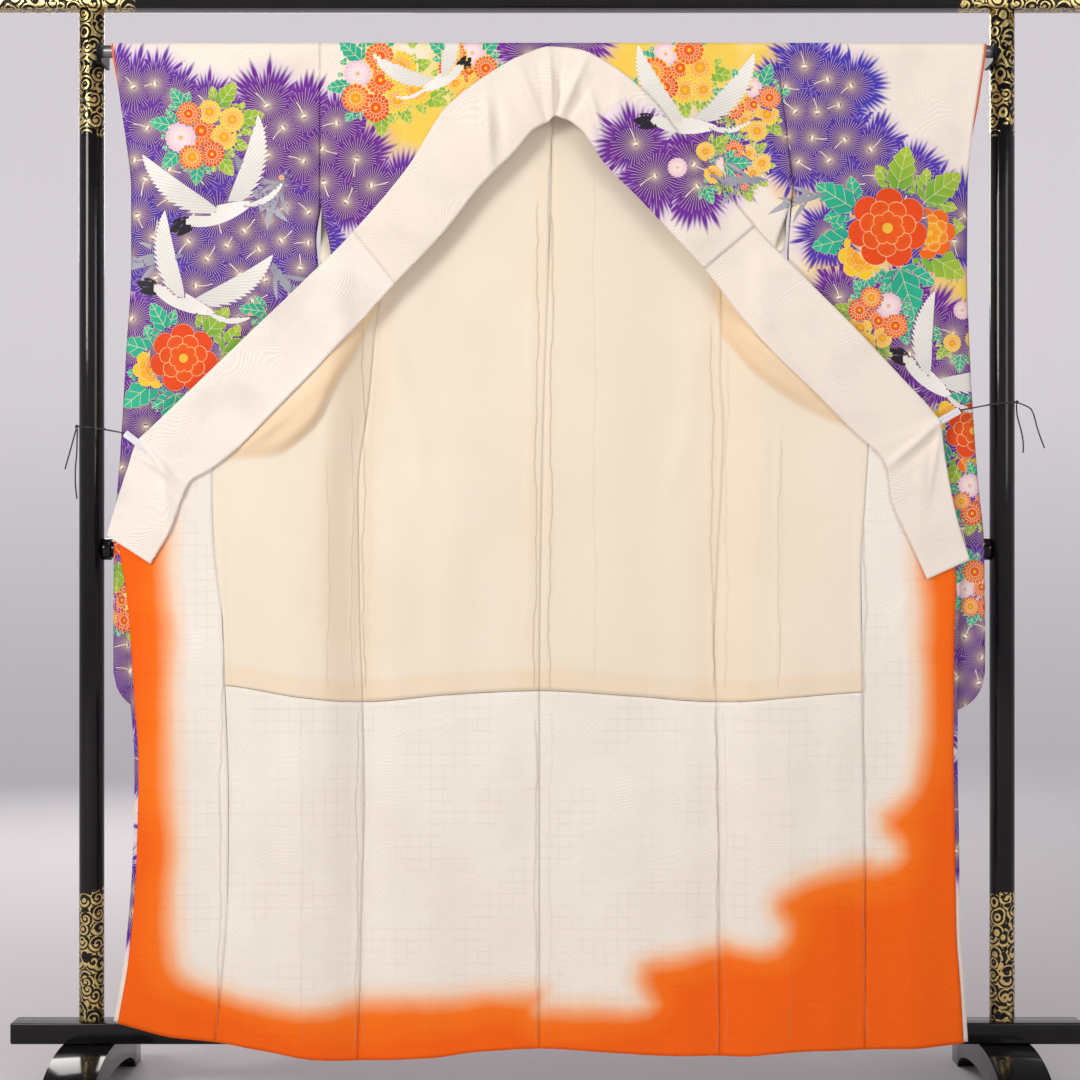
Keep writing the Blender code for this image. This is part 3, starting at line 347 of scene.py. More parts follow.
def backSurface(side):
    # up: 0-1 hem to lining seam, 1-2 to the side seam's top, 2-3 to the shoulder, 3-4 over the rod,
    # 4-5 down the front to the end behind the collar
    radius, rod = hung["shoulderRadius"], hung["rodDepth"]
    sideSeam, face, centre = seam[side]["side"], seam[side]["face"], seam[side]["centre"]

    def surface(across, up):
        def heightAt(x):
            lower = mix(hem(x), liningSeam(x), up)
            middle = mix(liningSeam(x), sideTop[side], up - 1)
            chest = mix(sideTop[side], shoulderZ, np.minimum(up, 3) - 2)
            return np.where(up <= 1, lower, np.where(up <= 2, middle, chest))

        def faceHeight(x):
            hidden = mix(hung["hideNape"], hung["hideSide"], ease(np.abs(x), 0.0, 0.15))
            return mix(shoulderZ, collarOuter(x) - hidden, np.clip(up - 4, 0, 1))

        x, z = settle(sideSeam, centre, across, heightAt)
        straight = ease(z, shoulderZ - hung["backSettles"], shoulderZ)
        hanging = pile(x, -mix(clothDepth(x, z), backDepth, straight), z)
        turn = np.clip(up - 3, 0, 1) * math.pi
        z = shoulderZ + radius * np.sin(turn)
        x = np.where(up > 3.5, acrossSeams(face, centre, across, z), acrossSeams(sideSeam, centre, across, z))
        over = pile(x, -rod + radius * np.cos(turn), z)
        x, z = settle(face, centre, across, faceHeight)
        slack = 0.0012 * np.sin(46 * x + 5 * z) * ease(shoulderZ - z, 0.0, 0.08)
        down = pile(x, -rod - radius + slack, z)
        pick = up[..., None]
        return np.where(pick < 3, hanging, np.where(pick <= 4, over, down))

    return surface


def sleeveSurface(side):
    # the bag: around runs from its front bottom edge (0) over the rod (2 to 3) to its back bottom edge (5)
    radius, rod = hung["shoulderRadius"], hung["rodDepth"]
    outer, inner = seam[side]["sleeveOuter"], seam[side]["sleeveInner"]
    base, corner, rounding, bottomHalf = 0.597, 0.06, 0.035, 0.007

    def bottomAt(x):
        off = np.maximum(corner - (abs(float(outer(base))) - np.abs(x)), 0.0)
        return base + corner - np.sqrt(np.maximum(corner**2 - off**2, 0.0))

    def halfDepth(x, z):
        height = np.minimum((z - base) / (shoulderZ - base), 1.0)
        fromEdge = np.maximum(np.abs(outer(z)) - np.abs(x), 0.0) + np.maximum(z - cuffEnd[side], 0.0)
        fromBottom = np.maximum(z - bottomAt(x), 0.0)
        closing = np.minimum(np.minimum(fromEdge, fromBottom), rounding) / rounding
        return mix(bottomHalf, radius, height) * np.sqrt(closing)

    def surface(across, around):
        def xAt(z):
            end = inner(z)
            return mix(outer(z), end - np.copysign(hung["seamGap"] / 2, end), across)

        turn = (3 - np.clip(around, 2, 3)) * math.pi
        zOver = shoulderZ + radius * np.sin(turn)
        over = pile(xAt(zOver), -rod + radius * np.cos(turn), zOver)
        level = np.where(around < 2.5, around, 5 - around)
        z = np.ones_like(across)
        for _ in range(hung["settleTurns"]):
            x = xAt(z)
            z = np.where(level <= 1, mix(bottomAt(x), cuffEnd[side], level),
                         mix(cuffEnd[side], shoulderZ, np.minimum(level, 2) - 1))
        slack = 0.1 + 0.1 * np.sin(38 * x + 1.6 * np.sin(5 * z)) + 0.06 * np.sin(71 * x - 4 * z)
        slack = slack * ease(shoulderZ - z, 0.02, 0.25)
        half = halfDepth(x, z) * (1 - slack)
        flatSide = pile(x, np.where(around < 2.5, -rod - half, -rod + half), z)
        return np.where(((around >= 2) & (around <= 3))[..., None], over, flatSide)

    return surface, halfDepth


def cuffSurface(side, shows):
    # the orange facing, from the wrist opening's front end over the rod to its back end
    lift = hung["silkWall"] / 2 + 0.0009
    radius, rod = hung["shoulderRadius"] - lift, hung["rodDepth"]
    outer = seam[side]["sleeveOuter"]
    halfDepth = sleeveSurface(side)[1]

    def surface(across, around):
        turn = np.clip(2 - around, 0, 1) * math.pi
        level = np.where(around < 1.5, around, 3 - around)
        over = (around >= 1) & (around <= 2)
        z = np.where(over, shoulderZ + radius * np.sin(turn),
                     mix(cuffEnd[side] + 0.055, shoulderZ, np.minimum(level, 1)))
        edge = outer(z)
        shown = shows * ease(z, cuffEnd[side] + 0.05, cuffEnd[side] + 0.12)
        x = edge + np.sign(edge) * mix(shown, -0.028, across)
        half = halfDepth(edge, z) * (1 - 0.26 * ease(shoulderZ - z, 0.02, 0.25)) - lift
        y = np.where(over, radius * np.cos(turn), np.where(around < 1.5, -half, half))
        return pile(x, -rod + y, z)

    return surface


# Where the stiff band is pinched: x, z, the way the pinch runs (x, z), half width, how far forward
collarCreases = [
    (0.006, 1.55, -0.06, 1.0, 0.0055, 0.007), (0.018, 1.548, 0.1, 1.0, 0.005, -0.009),
    (-0.007, 1.548, -0.16, 1.0, 0.005, -0.008), (0.036, 1.548, 0.45, 1.0, 0.007, 0.0055),
    (-0.026, 1.545, -0.4, 1.0, 0.008, 0.005), (0.05, 1.535, 0.6, 1.0, 0.006, -0.006),
    (-0.048, 1.53, -0.55, 1.0, 0.007, -0.006), (-0.09, 1.49, 0.08, -1.0, 0.0065, 0.0068),
    (0.079, 1.495, 0.28, -1.0, 0.0065, 0.0066), (-0.072, 1.505, 0.12, -1.0, 0.007, -0.008),
    (0.062, 1.505, 0.3, -1.0, 0.007, -0.008), (-0.11, 1.5, 0.3, -1.0, 0.009, 0.0026),
    (0.105, 1.5, -0.1, -1.0, 0.009, 0.0026), (-0.15, 1.46, 0.6, -1.0, 0.014, 0.0014),
    (0.165, 1.44, -0.6, -1.0, 0.014, 0.0014), (-0.585, 0.94, 0.1, -1.0, 0.01, 0.003),
    (0.575, 0.95, -0.05, -1.0, 0.011, 0.0026), (-0.6, 1.01, 0.8, -0.6, 0.008, 0.002),
    (0.58, 1.035, 0.9, 0.4, 0.008, 0.002), (0.566, 1.012, -0.063, -0.055, 0.006, 0.0052),
    (0.574, 0.998, -0.063, -0.055, 0.006, -0.007), (-0.59, 0.974, 0.045, -0.055, 0.006, 0.0046),
    (-0.598, 0.962, 0.045, -0.055, 0.006, -0.006), (-0.603, 0.975, 0.1, -0.06, 0.004, 0.002),
    (0.594, 0.985, -0.01, -0.06, 0.0045, 0.0024),
]


def collarSurface(overLift=0.0):
    # across runs from the sewn edge (0) to the free edge (1), along in sections
    def middle(across, along):
        x = mix(collarBand[0](along), collarBand[2](along), across)
        z = mix(collarBand[1](along), collarBand[3](along), across)
        # a small nib of the free edge, below the nape
        z = z + hung["nibRise"] * across**3 * np.exp(-(((x - hung["nibX"]) / hung["nibHalf"]) ** 2))
        under = clothDepth(x, z) + hung["liningLift"] + hung["liningClear"]
        under = under + hung["collarClear"] + hung["collarWall"] / 2
        gap = under - hung["collarDepth"]
        depth = (under + hung["collarDepth"] + np.sqrt(gap**2 + hung["collarBlend"] ** 2)) / 2
        depth = depth + hung["napeBelly"] * np.sin(math.pi * across) * np.exp(-((x / hung["napeReach"]) ** 2))
        for atX, atZ, runX, runZ, reach, rise in collarCreases:
            length = math.hypot(runX, runZ)
            off = ((x - atX) * runZ - (z - atZ) * runX) / length
            run = ((x - atX) * runX + (z - atZ) * runZ) / length
            depth = depth + max(rise, 0) * 1.5 * np.exp(-((off / reach) ** 2) - (run / 0.05) ** 2)
            depth = depth + min(rise, 0) * 0.45 * np.exp(-((off / reach) ** 2) - (run / 0.04) ** 2)
        return pile(x, -depth, z)

    def surface(across, along):
        if not overLift:
            return middle(across, along)
        return middle(across, along) + np.array([0.0, -overLift, 0.0])

    return surface


def lifted(surface, lift):
    # the same surface moved along its own normal: toward the viewer, and inward over the rod
    def raised(across, up):
        points = surface(across, up)
        normal = np.cross(np.gradient(points, axis=1), np.gradient(points, axis=0))
        normal /= np.maximum(np.linalg.norm(normal, axis=-1, keepdims=True), 1e-12)
        toward = np.zeros_like(points)
        toward[..., 1] = -1.0
        over = up > 3
        toward[over] = np.array([0.0, -hung["rodDepth"], shoulderZ]) - points[over]
        toward[over, 0] = 0.0
        return points + normal * np.copysign(lift, (normal * toward).sum(-1))[..., None]

    return raised


# The dyed print, laid out on the flat cut: x, and the drop below the shoulder (negative on the back)
printColours = {
    "purple": "#6F2899", "violet": "#4439B4", "deep": "#521C82", "glow": "#C3A4E4",
    "cloud": "#F7CE3E", "cloudEdge": "#FCEDB0", "line": "#F7ECCB", "orange": "#F26A0C", "red": "#EA4A0C",
    "yellow": "#F9CB2A", "pink": "#EFC6E2", "leaf": "#B4CF3A", "leafDeep": "#4E9F38", "sea": "#2FC298",
    "seaDeep": "#1E9E84", "feather": "#FBF8F1", "featherShade": "#DDDFD8", "tail": "#221E26",
    "branch": "#B4B6BE", "branchShade": "#7C8090", "crown": "#DC3A20",
}
# Fields of pine: x, drop, radius, share of blue, and how many tufts
pineRows = [
    (-0.648, 0.058, 0.024, 0.3, 3), (-0.6, 0.105, 0.04, 0.3, 4), (-0.52, 0.13, 0.04, 0.2, 5),
    (-0.43, 0.14, 0.042, 0.0, 5), (-0.355, 0.15, 0.04, 0.0, 4), (-0.3, 0.2, 0.05, 0.1, 4),
    (-0.25, 0.235, 0.03, 0.2, 2), (-0.56, 0.19, 0.08, 0.7, 7), (-0.45, 0.215, 0.085, 0.5, 8),
    (-0.59, 0.31, 0.08, 0.9, 7), (-0.47, 0.33, 0.095, 0.6, 9), (-0.4, 0.3, 0.06, 0.7, 5),
    (-0.56, 0.44, 0.09, 0.2, 8), (-0.48, 0.45, 0.07, 0.1, 5), (-0.62, 0.56, 0.06, 0.2, 5),
    (-0.65, 0.68, 0.05, 0.4, 4), (-0.62, 0.8, 0.06, 0.2, 5), (-0.5, 0.7, 0.09, 0.3, 7),
    (-0.46, 0.86, 0.08, 0.2, 6), (0.4, 0.07, 0.045, 0.8, 5), (0.455, 0.085, 0.03, 0.9, 3),
    (0.41, 0.15, 0.055, 0.7, 5), (0.475, 0.18, 0.045, 0.7, 5), (0.55, 0.22, 0.045, 0.7, 4),
    (0.615, 0.28, 0.04, 0.8, 4), (0.428, 0.3, 0.012, 0.7, 1), (0.455, 0.405, 0.035, 0.0, 3),
    (0.54, 0.44, 0.055, 0.1, 5), (0.62, 0.48, 0.045, 0.0, 4), (0.66, 0.59, 0.04, 0.3, 3),
    (0.64, 0.74, 0.06, 0.4, 5), (0.65, 0.9, 0.06, 0.2, 5), (0.52, 0.72, 0.09, 0.3, 7),
    (0.47, 0.88, 0.08, 0.3, 6), (-0.65, 0.91, 0.05, 0.3, 5), (-0.6, 0.985, 0.045, 0.2, 4),
    (0.655, 0.985, 0.04, 0.3, 3), (0.6, 0.995, 0.05, 0.3, 4), (0.02, 0.0, 0.06, 0.1, 5),
    (0.145, 0.165, 0.022, 0.0, 2), (0.17, 0.205, 0.025, 0.0, 2), (0.22, 0.215, 0.025, 0.0, 2),
    (0.262, 0.195, 0.032, 0.2, 3), (-0.56, -0.18, 0.09, 0.3, 8), (-0.45, -0.28, 0.1, 0.5, 9),
    (-0.58, -0.38, 0.09, 0.8, 8), (-0.5, -0.56, 0.1, 0.2, 9), (-0.6, -0.72, 0.08, 0.4, 7),
    (-0.44, -0.86, 0.09, 0.2, 8), (0.46, -0.12, 0.09, 0.6, 8), (0.58, -0.22, 0.09, 0.7, 8),
    (0.45, -0.42, 0.1, 0.1, 9), (0.59, -0.52, 0.09, 0.0, 8), (0.48, -0.74, 0.1, 0.5, 9),
    (0.6, -0.88, 0.08, 0.3, 6), (-0.23, -0.16, 0.09, 0.2, 8), (-0.08, -0.24, 0.08, 0.1, 7),
    (0.12, -0.15, 0.08, 0.1, 7), (0.25, -0.3, 0.09, 0.4, 8), (-0.2, -0.9, 0.1, 0.2, 9),
    (-0.05, -1.02, 0.11, 0.5, 10), (0.12, -1.12, 0.11, 0.6, 10), (0.27, -1.01, 0.09, 0.2, 8),
    (-0.25, -1.15, 0.1, 0.3, 9), (0.02, -1.3, 0.12, 0.7, 10), (-0.18, -1.38, 0.11, 0.3, 10),
    (0.22, -1.33, 0.11, 0.5, 10), (0.35, 0.9, 0.09, 0.4, 8), (0.48, 1.05, 0.1, 0.2, 9),
    (0.57, 1.2, 0.09, 0.6, 8), (0.36, 1.25, 0.11, 0.3, 9), (-0.4, 0.98, 0.09, 0.2, 8),
    (-0.52, 1.12, 0.1, 0.5, 9), (-0.36, 1.25, 0.11, 0.1, 9), (-0.6, 1.3, 0.09, 0.4, 8),
]
# Yellow clouds: x, drop, radius
cloudRows = [
    (-0.262, 0.045, 0.04), (-0.215, 0.085, 0.05), (-0.19, 0.13, 0.058), (-0.13, 0.04, 0.05),
    (-0.25, 0.14, 0.05), (0.12, 0.02, 0.06), (0.18, 0.05, 0.07), (0.26, 0.03, 0.06), (0.33, 0.04, 0.045),
    (0.12, 0.11, 0.045), (0.3, 0.11, 0.05), (0.39, 0.21, 0.04), (0.48, 0.275, 0.07), (0.56, 0.31, 0.075),
    (0.45, 0.34, 0.045), (0.62, 0.37, 0.06), (0.65, 0.52, 0.06), (0.64, 0.64, 0.05), (-0.64, 0.37, 0.05),
    (-0.54, 0.54, 0.07), (-0.62, 0.47, 0.04), (-0.5, -0.12, 0.08), (-0.58, -0.5, 0.09), (0.56, -0.34, 0.09),
    (0.46, -0.6, 0.08), (-0.16, -0.08, 0.08), (0.18, -0.06, 0.07), (-0.12, -1.16, 0.1), (0.18, -1.22, 0.09),
    (0.05, -0.94, 0.08), (0.44, 1.14, 0.09), (-0.46, 1.18, 0.09),
]
# Bunches: kind, x, drop, size, turn
bunchRows = [
    ("asters", -0.532, 0.138, 1.0, 0.1), ("peonies", -0.56, 0.49, 1.15, 0.2),
    ("asters", -0.256, 0.06, 1.1, 0.7), ("asters", -0.12, 0.045, 0.8, 2.2),
    ("asters", 0.205, 0.042, 0.95, 1.2), ("asters", 0.318, 0.098, 0.8, 1.9),
    ("peonies", 0.525, 0.29, 1.35, -0.3), ("asters", 0.51, 0.43, 0.85, 2.6),
    ("asters", 0.295, 0.19, 0.7, 0.4), ("sprig", 0.228, 0.192, 0.85, 0.3),
    ("peonies", 0.655, 0.6, 0.95, 1.1), ("asters", 0.67, 0.84, 0.8, 0.3), ("asters", 0.672, 0.7, 0.8, 1.1),
    ("asters", -0.655, 0.86, 0.8, 0.4), ("peonies", -0.65, 0.76, 0.8, 2.1),
    ("sprig", -0.395, 0.42, 0.9, 2.4), ("sprig", 0.64, 0.44, 0.8, 2.0), ("peonies", -0.52, -0.13, 1.1, 0.4),
    ("asters", -0.44, -0.42, 1.05, 1.0), ("peonies", -0.57, -0.61, 1.0, 2.4),
    ("asters", -0.49, -0.82, 1.0, 0.2), ("asters", 0.53, -0.1, 1.05, 1.4),
    ("peonies", 0.55, -0.36, 1.1, 2.9), ("asters", 0.45, -0.62, 1.05, 0.6),
    ("peonies", 0.57, -0.82, 0.95, 1.5), ("asters", -0.2, -0.08, 1.1, 0.8),
    ("peonies", 0.16, -0.09, 1.0, 2.2), ("peonies", -0.15, -1.13, 1.3, 0.3),
    ("asters", 0.17, -1.23, 1.25, 1.1), ("asters", 0.06, -0.95, 1.1, 2.0),
    ("peonies", 0.25, -1.42, 1.2, 0.9), ("asters", -0.27, -1.44, 1.15, 2.8),
    ("asters", 0.45, 1.13, 1.1, 0.5), ("peonies", 0.4, 1.33, 1.2, 1.7), ("asters", -0.45, 1.19, 1.1, 2.1),
    ("peonies", -0.5, 1.38, 1.2, 0.4), ("asters", 0.35, 0.96, 0.9, 1.5), ("asters", -0.35, 0.96, 0.9, 0.9),
]
# Cranes: x, drop, size, turn of the body, side that the wings rise on
craneRows = [
    (-0.5, 0.262, 1.0, -0.3, 1), (-0.555, 0.4, 0.95, 0.42, 1), (0.215, 0.128, 0.95, 0.1, 1),
    (-0.165, 0.06, 0.7, 2.6, -1), (0.59, 0.52, 0.9, 0.7, 1), (-0.54, -0.28, 1.05, 0.5, 1),
    (-0.46, -0.72, 1.0, -0.4, 1), (0.5, -0.24, 1.05, 2.7, -1), (0.56, -0.68, 1.0, 2.4, -1),
    (-0.07, -0.18, 1.1, 0.4, 1), (0.08, -1.08, 1.3, 2.6, -1), (-0.12, -1.33, 1.25, 0.5, 1),
]
# Bare boughs: x, drop, length, turn
boughRows = [
    (-0.48, 0.175, 0.11, 0.9), (-0.56, 0.33, 0.1, 2.9), (-0.43, 0.335, 0.09, 0.8), (-0.4, 0.2, 0.08, 1.9),
    (0.34, 0.215, 0.1, 3.0), (0.43, 0.235, 0.08, 2.8), (-0.48, -0.34, 0.1, 0.7), (0.5, -0.48, 0.1, 2.5),
    (0.04, -1.18, 0.13, 0.5),
]
# Kinds of motif: a flower, a toothed leaf, a wing with feather ends on one side or the other, a smooth body
rounds, blades, wingOver, wingUnder, bodies = 1.0, 2.0, 3.0, 4.0, 5.0


def layOutPrint():
    # every motif as (kind, x, drop, turn, size, petals or width, bend, teeth, depth, colour, second colour)
    draw = np.random.default_rng(11)
    tufts, marks = [], []
    for atX, drop, radius, blue, count in pineRows:
        made = 0
        for _ in range(60):
            angle, far = draw.uniform(0, 2 * math.pi), radius * math.sqrt(draw.uniform(0, 1))
            spot = (atX + far * math.cos(angle), drop + far * math.sin(angle))
            near = [t for t in tufts if math.hypot(t[0] - spot[0], t[1] - spot[1]) < 0.033]
            if not near and drop * spot[1] >= 0:
                tufts.append((*spot, draw.uniform(0.034, 0.044), blue))
                made += 1
            if made >= count:
                break

    def leafAt(x, y, turn, size, sea=False):
        colours = ("sea", "seaDeep") if sea else ("leaf", "leafDeep")
        for swing, share, wide in ((0.85, 0.72, 0.33), (-0.85, 0.72, 0.33), (0.0, 1.0, 0.36)):
            marks.append((blades, x, y, turn + swing, size * share, wide, 0.0, 4.0, 0.2, *colours))

    def flowerAt(x, y, size, petals, depth, colour, second):
        marks.append((rounds, x, y, draw.uniform(0, 6.2), size, petals, 0.0, 0.0, depth, colour, second))

    def around(x, y, size, turn, rows):
        for offX, offY in rows:
            yield (x + size * (offX * math.cos(turn) - offY * math.sin(turn)),
                   y + size * (offX * math.sin(turn) + offY * math.cos(turn)))

    asterSpots = [(0.0, 0.0), (0.036, 0.006), (-0.03, 0.014), (0.01, -0.03), (-0.022, -0.024),
                  (0.046, -0.022), (0.02, 0.034), (-0.01, 0.042)]
    asterLook = [("orange", "red"), ("yellow", "orange"), ("pink", "feather"), ("yellow", "orange"),
                 ("orange", "red"), ("yellow", "orange"), ("red", "orange"), ("orange", "yellow")]
    peonyLook = [("orange", "yellow"), ("yellow", "orange"), ("red", "orange")]
    leafSpots = [(0.062, 0.016), (-0.054, -0.004), (0.04, 0.046), (-0.038, 0.044), (0.03, -0.052),
                 (-0.04, -0.046), (0.07, -0.026), (0.0, 0.066)]
    for kind, x, y, size, turn in bunchRows:
        leaves = list(around(x, y, size, turn, leafSpots))
        if kind == "sprig":
            leaves = leaves[::2]
        for i, (leafX, leafY) in enumerate(leaves):
            leafAt(leafX - 0.3 * (leafX - x), leafY - 0.3 * (leafY - y), math.atan2(leafY - y, leafX - x),
                   (0.052 if kind == "peonies" else 0.04) * size * draw.uniform(0.75, 1.25), sea=i % 2 == 1)
        if kind == "asters":
            for (spotX, spotY), look in zip(around(x, y, size, turn, asterSpots), asterLook):
                flowerAt(spotX, spotY, 0.0225 * size * draw.uniform(0.8, 1.1), 18.0, 0.12, *look)
        elif kind == "sprig":
            for (spotX, spotY), look in zip(around(x, y, size, turn, asterSpots[1:4]), asterLook[1:]):
                flowerAt(spotX, spotY, 0.018 * size, 16.0, 0.12, *look)
        else:
            spots = around(x, y, size, turn, [(0.044, 0.018), (-0.038, 0.02), (0.0, -0.002)])
            for (spotX, spotY), far, look in zip(spots, (0.03, 0.027, 0.046), peonyLook):
                flowerAt(spotX, spotY, far * size, 7.0, 0.24, *look)
    twigs = [(0.0, 0.0, 1.0), (0.22, 0.75, 0.46), (0.38, -0.65, 0.44), (0.58, 0.6, 0.36)]
    for x, y, length, turn in boughRows:
        for along, swing, share in twigs:
            start = (x + length * along * math.cos(turn), y + length * along * math.sin(turn))
            marks.append((bodies, *start, turn + swing, length * share * 1.2, 0.085, 0.22, 0.0, 0.0,
                          "branch", "branchShade"))
    for x, y, size, turn, rise in craneRows:
        if y < 0:
            turn, rise = -turn, -rise  # the flat cut is upside down on the back

        def place(alongBody, acrossBody):
            return (x + size * (alongBody * math.cos(turn) - acrossBody * math.sin(turn)),
                    y + size * (alongBody * math.sin(turn) + acrossBody * math.cos(turn)))

        white = ("feather", "featherShade")
        nearWing, farWing = (wingUnder, wingOver) if rise > 0 else (wingOver, wingUnder)
        # three tail plumes, the far wing, body, neck, bill, crown and near wing
        for swing, share in ((0.28, 0.9), (-0.04, 1.1), (-0.36, 0.9)):
            marks.append((bodies, *place(-0.044, 0.003), turn + math.pi + swing, 0.04 * size * share,
                          0.24, 0.06, 0.0, 0.0, "tail", "tail"))
        marks.append((farWing, *place(0.01, -0.004 * rise), turn - rise * 0.95, 0.15 * size,
                      0.22, 0.28 * rise, 15.0, 0.26, *white))
        marks.append((bodies, *place(-0.06, 0.0), turn, 0.112 * size, 0.15, 0.1 * rise, 0.0, 0.0, *white))
        marks.append((bodies, *place(0.034, 0.001), turn - 0.3 * rise, 0.078 * size,
                      0.075, 0.62 * rise, 0.0, 0.0, *white))
        marks.append((bodies, *place(0.103, -0.02 * rise), turn - 0.05 * rise, 0.02 * size,
                      0.12, 0.0, 0.0, 0.0, "branchShade", "tail"))
        marks.append((rounds, *place(0.103, -0.0225 * rise), 0.0, 0.0042 * size,
                      5.0, 0.0, 0.0, 0.0, "crown", "crown"))
        marks.append((nearWing, *place(-0.006, -0.003 * rise), turn - rise * 2.2, 0.145 * size,
                      0.22, -0.24 * rise, 15.0, 0.26, *white))
    return tufts, marks


tufts, marks = layOutPrint()
print("print laid out:", len(tufts), "pine tufts,", len(marks), "motifs")


def paintPrint(mesh, cut, starts, counts, low=(-9.0, -9.0), high=(9.0, 9.0)):
    # each corner gets the fields of colour, and each face the tuft and the topmost motif it lies in
    middle = np.add.reduceat(cut, starts, axis=0) / counts[:, None]
    near = np.zeros((len(cut), 3))
    spots = np.array(tufts)
    lowest, highest = cut.min(0) - 0.12, cut.max(0) + 0.12
    lowest, highest = np.maximum(lowest, low), np.minimum(highest, high)
    spots = spots[((spots[:, :2] > lowest) & (spots[:, :2] < highest)).all(1)]
    weight = np.zeros(len(cut))
    for x, drop, radius, blue in spots:
        off = np.hypot(cut[:, 0] - x, cut[:, 1] - drop) / radius
        share = np.clip(1.42 - 0.72 * off, 0, 1)
        near[:, 0] = np.maximum(near[:, 0], share)
        near[:, 1] += blue * share**3
        weight += share**3
    near[:, 1] /= np.maximum(weight, 1e-6)
    for x, drop, radius in cloudRows:
        if lowest[0] < x < highest[0] and lowest[1] < drop < highest[1]:
            off = np.hypot(cut[:, 0] - x, cut[:, 1] - drop) / radius
            near[:, 2] = np.maximum(near[:, 2], np.clip(1.5 - off, 0, 1))
    mesh.attributes.new("dye", "FLOAT_VECTOR", "CORNER").data.foreach_set("vector", near.ravel())
    tuft = np.zeros((len(middle), 3))
    best = np.full(len(middle), 9.0)
    for x, drop, radius, _ in spots:
        off = np.hypot(middle[:, 0] - x, middle[:, 1] - drop) / radius
        nearer = off < best
        best[nearer] = off[nearer]
        tuft[nearer] = (x, drop, radius)
    place, shape, trim = (np.zeros((len(middle), 3)) for _ in range(3))
    colours = [np.zeros((len(middle), 3)) for _ in range(2)]
    # a motif that holds a face's middle comes before one whose edge only touches the face
    shown = [m for m in marks if (lowest < (m[1], m[2])).all() and (highest > (m[1], m[2])).all()]
    for margin in (0.003, 0.0):
        for kind, x, drop, turn, size, wide, bend, teeth, depth, colour, second in shown:
            offX, offY = middle[:, 0] - x, middle[:, 1] - drop
            if kind == rounds:
                inside = np.hypot(offX, offY) < size + margin
            else:
                along = (offX * math.cos(turn) + offY * math.sin(turn)) / size
                over = (offY * math.cos(turn) - offX * math.sin(turn)) / size
                over = over - bend * along * (1 - along)
                t = np.clip(along, 0.0, 1.0)
                half = wide * 2.2 * t**0.6 * (1 - t) ** 0.8
                if kind in (wingOver, wingUnder):
                    half = np.where((over > 0) == (kind == wingOver), half, 0.38 * half)
                inside = np.abs(over) < half + margin / size
                inside &= (along > -margin / size) & (along < 1 + margin / size)
            place[inside] = (x, drop, turn)
            shape[inside] = (size, wide, kind)
            trim[inside] = (bend, teeth, depth)
            colours[0][inside] = linear(printColours[colour])
            colours[1][inside] = linear(printColours[second])
    for name, values in (("tuft", tuft), ("motifPlace", place), ("motifShape", shape), ("motifTrim", trim),
                         ("motifColour", colours[0]), ("motifSecond", colours[1])):
        mesh.attributes.new(name, "FLOAT_VECTOR", "FACE").data.foreach_set("vector", values.ravel())


# Where the lining is left white: the edge of the orange shading, as x and height
whiteEdge = [
    (-0.588, 0.9), (-0.587, 0.769), (-0.577, 0.492), (-0.581, 0.25), (-0.579, 0.222), (-0.572, 0.2),
    (-0.559, 0.184), (-0.538, 0.173), (-0.506, 0.162), (-0.47, 0.15), (-0.431, 0.143), (-0.375, 0.134),
    (-0.33, 0.138), (-0.289, 0.148), (-0.235, 0.146), (-0.183, 0.148), (-0.097, 0.16), (-0.01, 0.158),
    (-0.01, 0.138), (0.06, 0.13), (0.125, 0.127), (0.155, 0.131), (0.166, 0.143), (0.157, 0.16),
    (0.149, 0.182), (0.154, 0.199), (0.172, 0.208), (0.22, 0.216), (0.262, 0.228), (0.277, 0.238),
    (0.293, 0.231), (0.325, 0.228), (0.35, 0.235), (0.364, 0.251), (0.362, 0.267), (0.347, 0.285),
    (0.344, 0.304), (0.356, 0.322), (0.388, 0.338), (0.44, 0.351), (0.496, 0.365), (0.503, 0.357),
    (0.53, 0.363), (0.543, 0.377), (0.539, 0.393), (0.52, 0.414), (0.52, 0.437), (0.54, 0.453),
    (0.566, 0.477), (0.576, 0.512), (0.58, 0.56), (0.582, 0.769), (0.575, 0.9), (0.575, 1.3), (-0.588, 1.3),
]


def orangeShare(x, z):
    # how far into the orange a point lies, in metres: negative on the white
    edge = np.array(whiteEdge)
    ends = np.roll(edge, -1, axis=0)
    nearest = np.full(x.shape, 9.0)
    inside = np.zeros(x.shape, bool)
    for (startX, startZ), (endX, endZ) in zip(edge, ends):
        runX, runZ = endX - startX, endZ - startZ
        t = np.clip(((x - startX) * runX + (z - startZ) * runZ) / (runX**2 + runZ**2), 0, 1)
        nearest = np.minimum(nearest, np.hypot(x - startX - t * runX, z - startZ - t * runZ))
        crosses = (startZ > z) != (endZ > z)
        slant = startX + (z - startZ) * runX / (runZ if runZ else 1.0)
        inside ^= crosses & (x < slant)
    return np.where(inside, -nearest, nearest)


# Materials

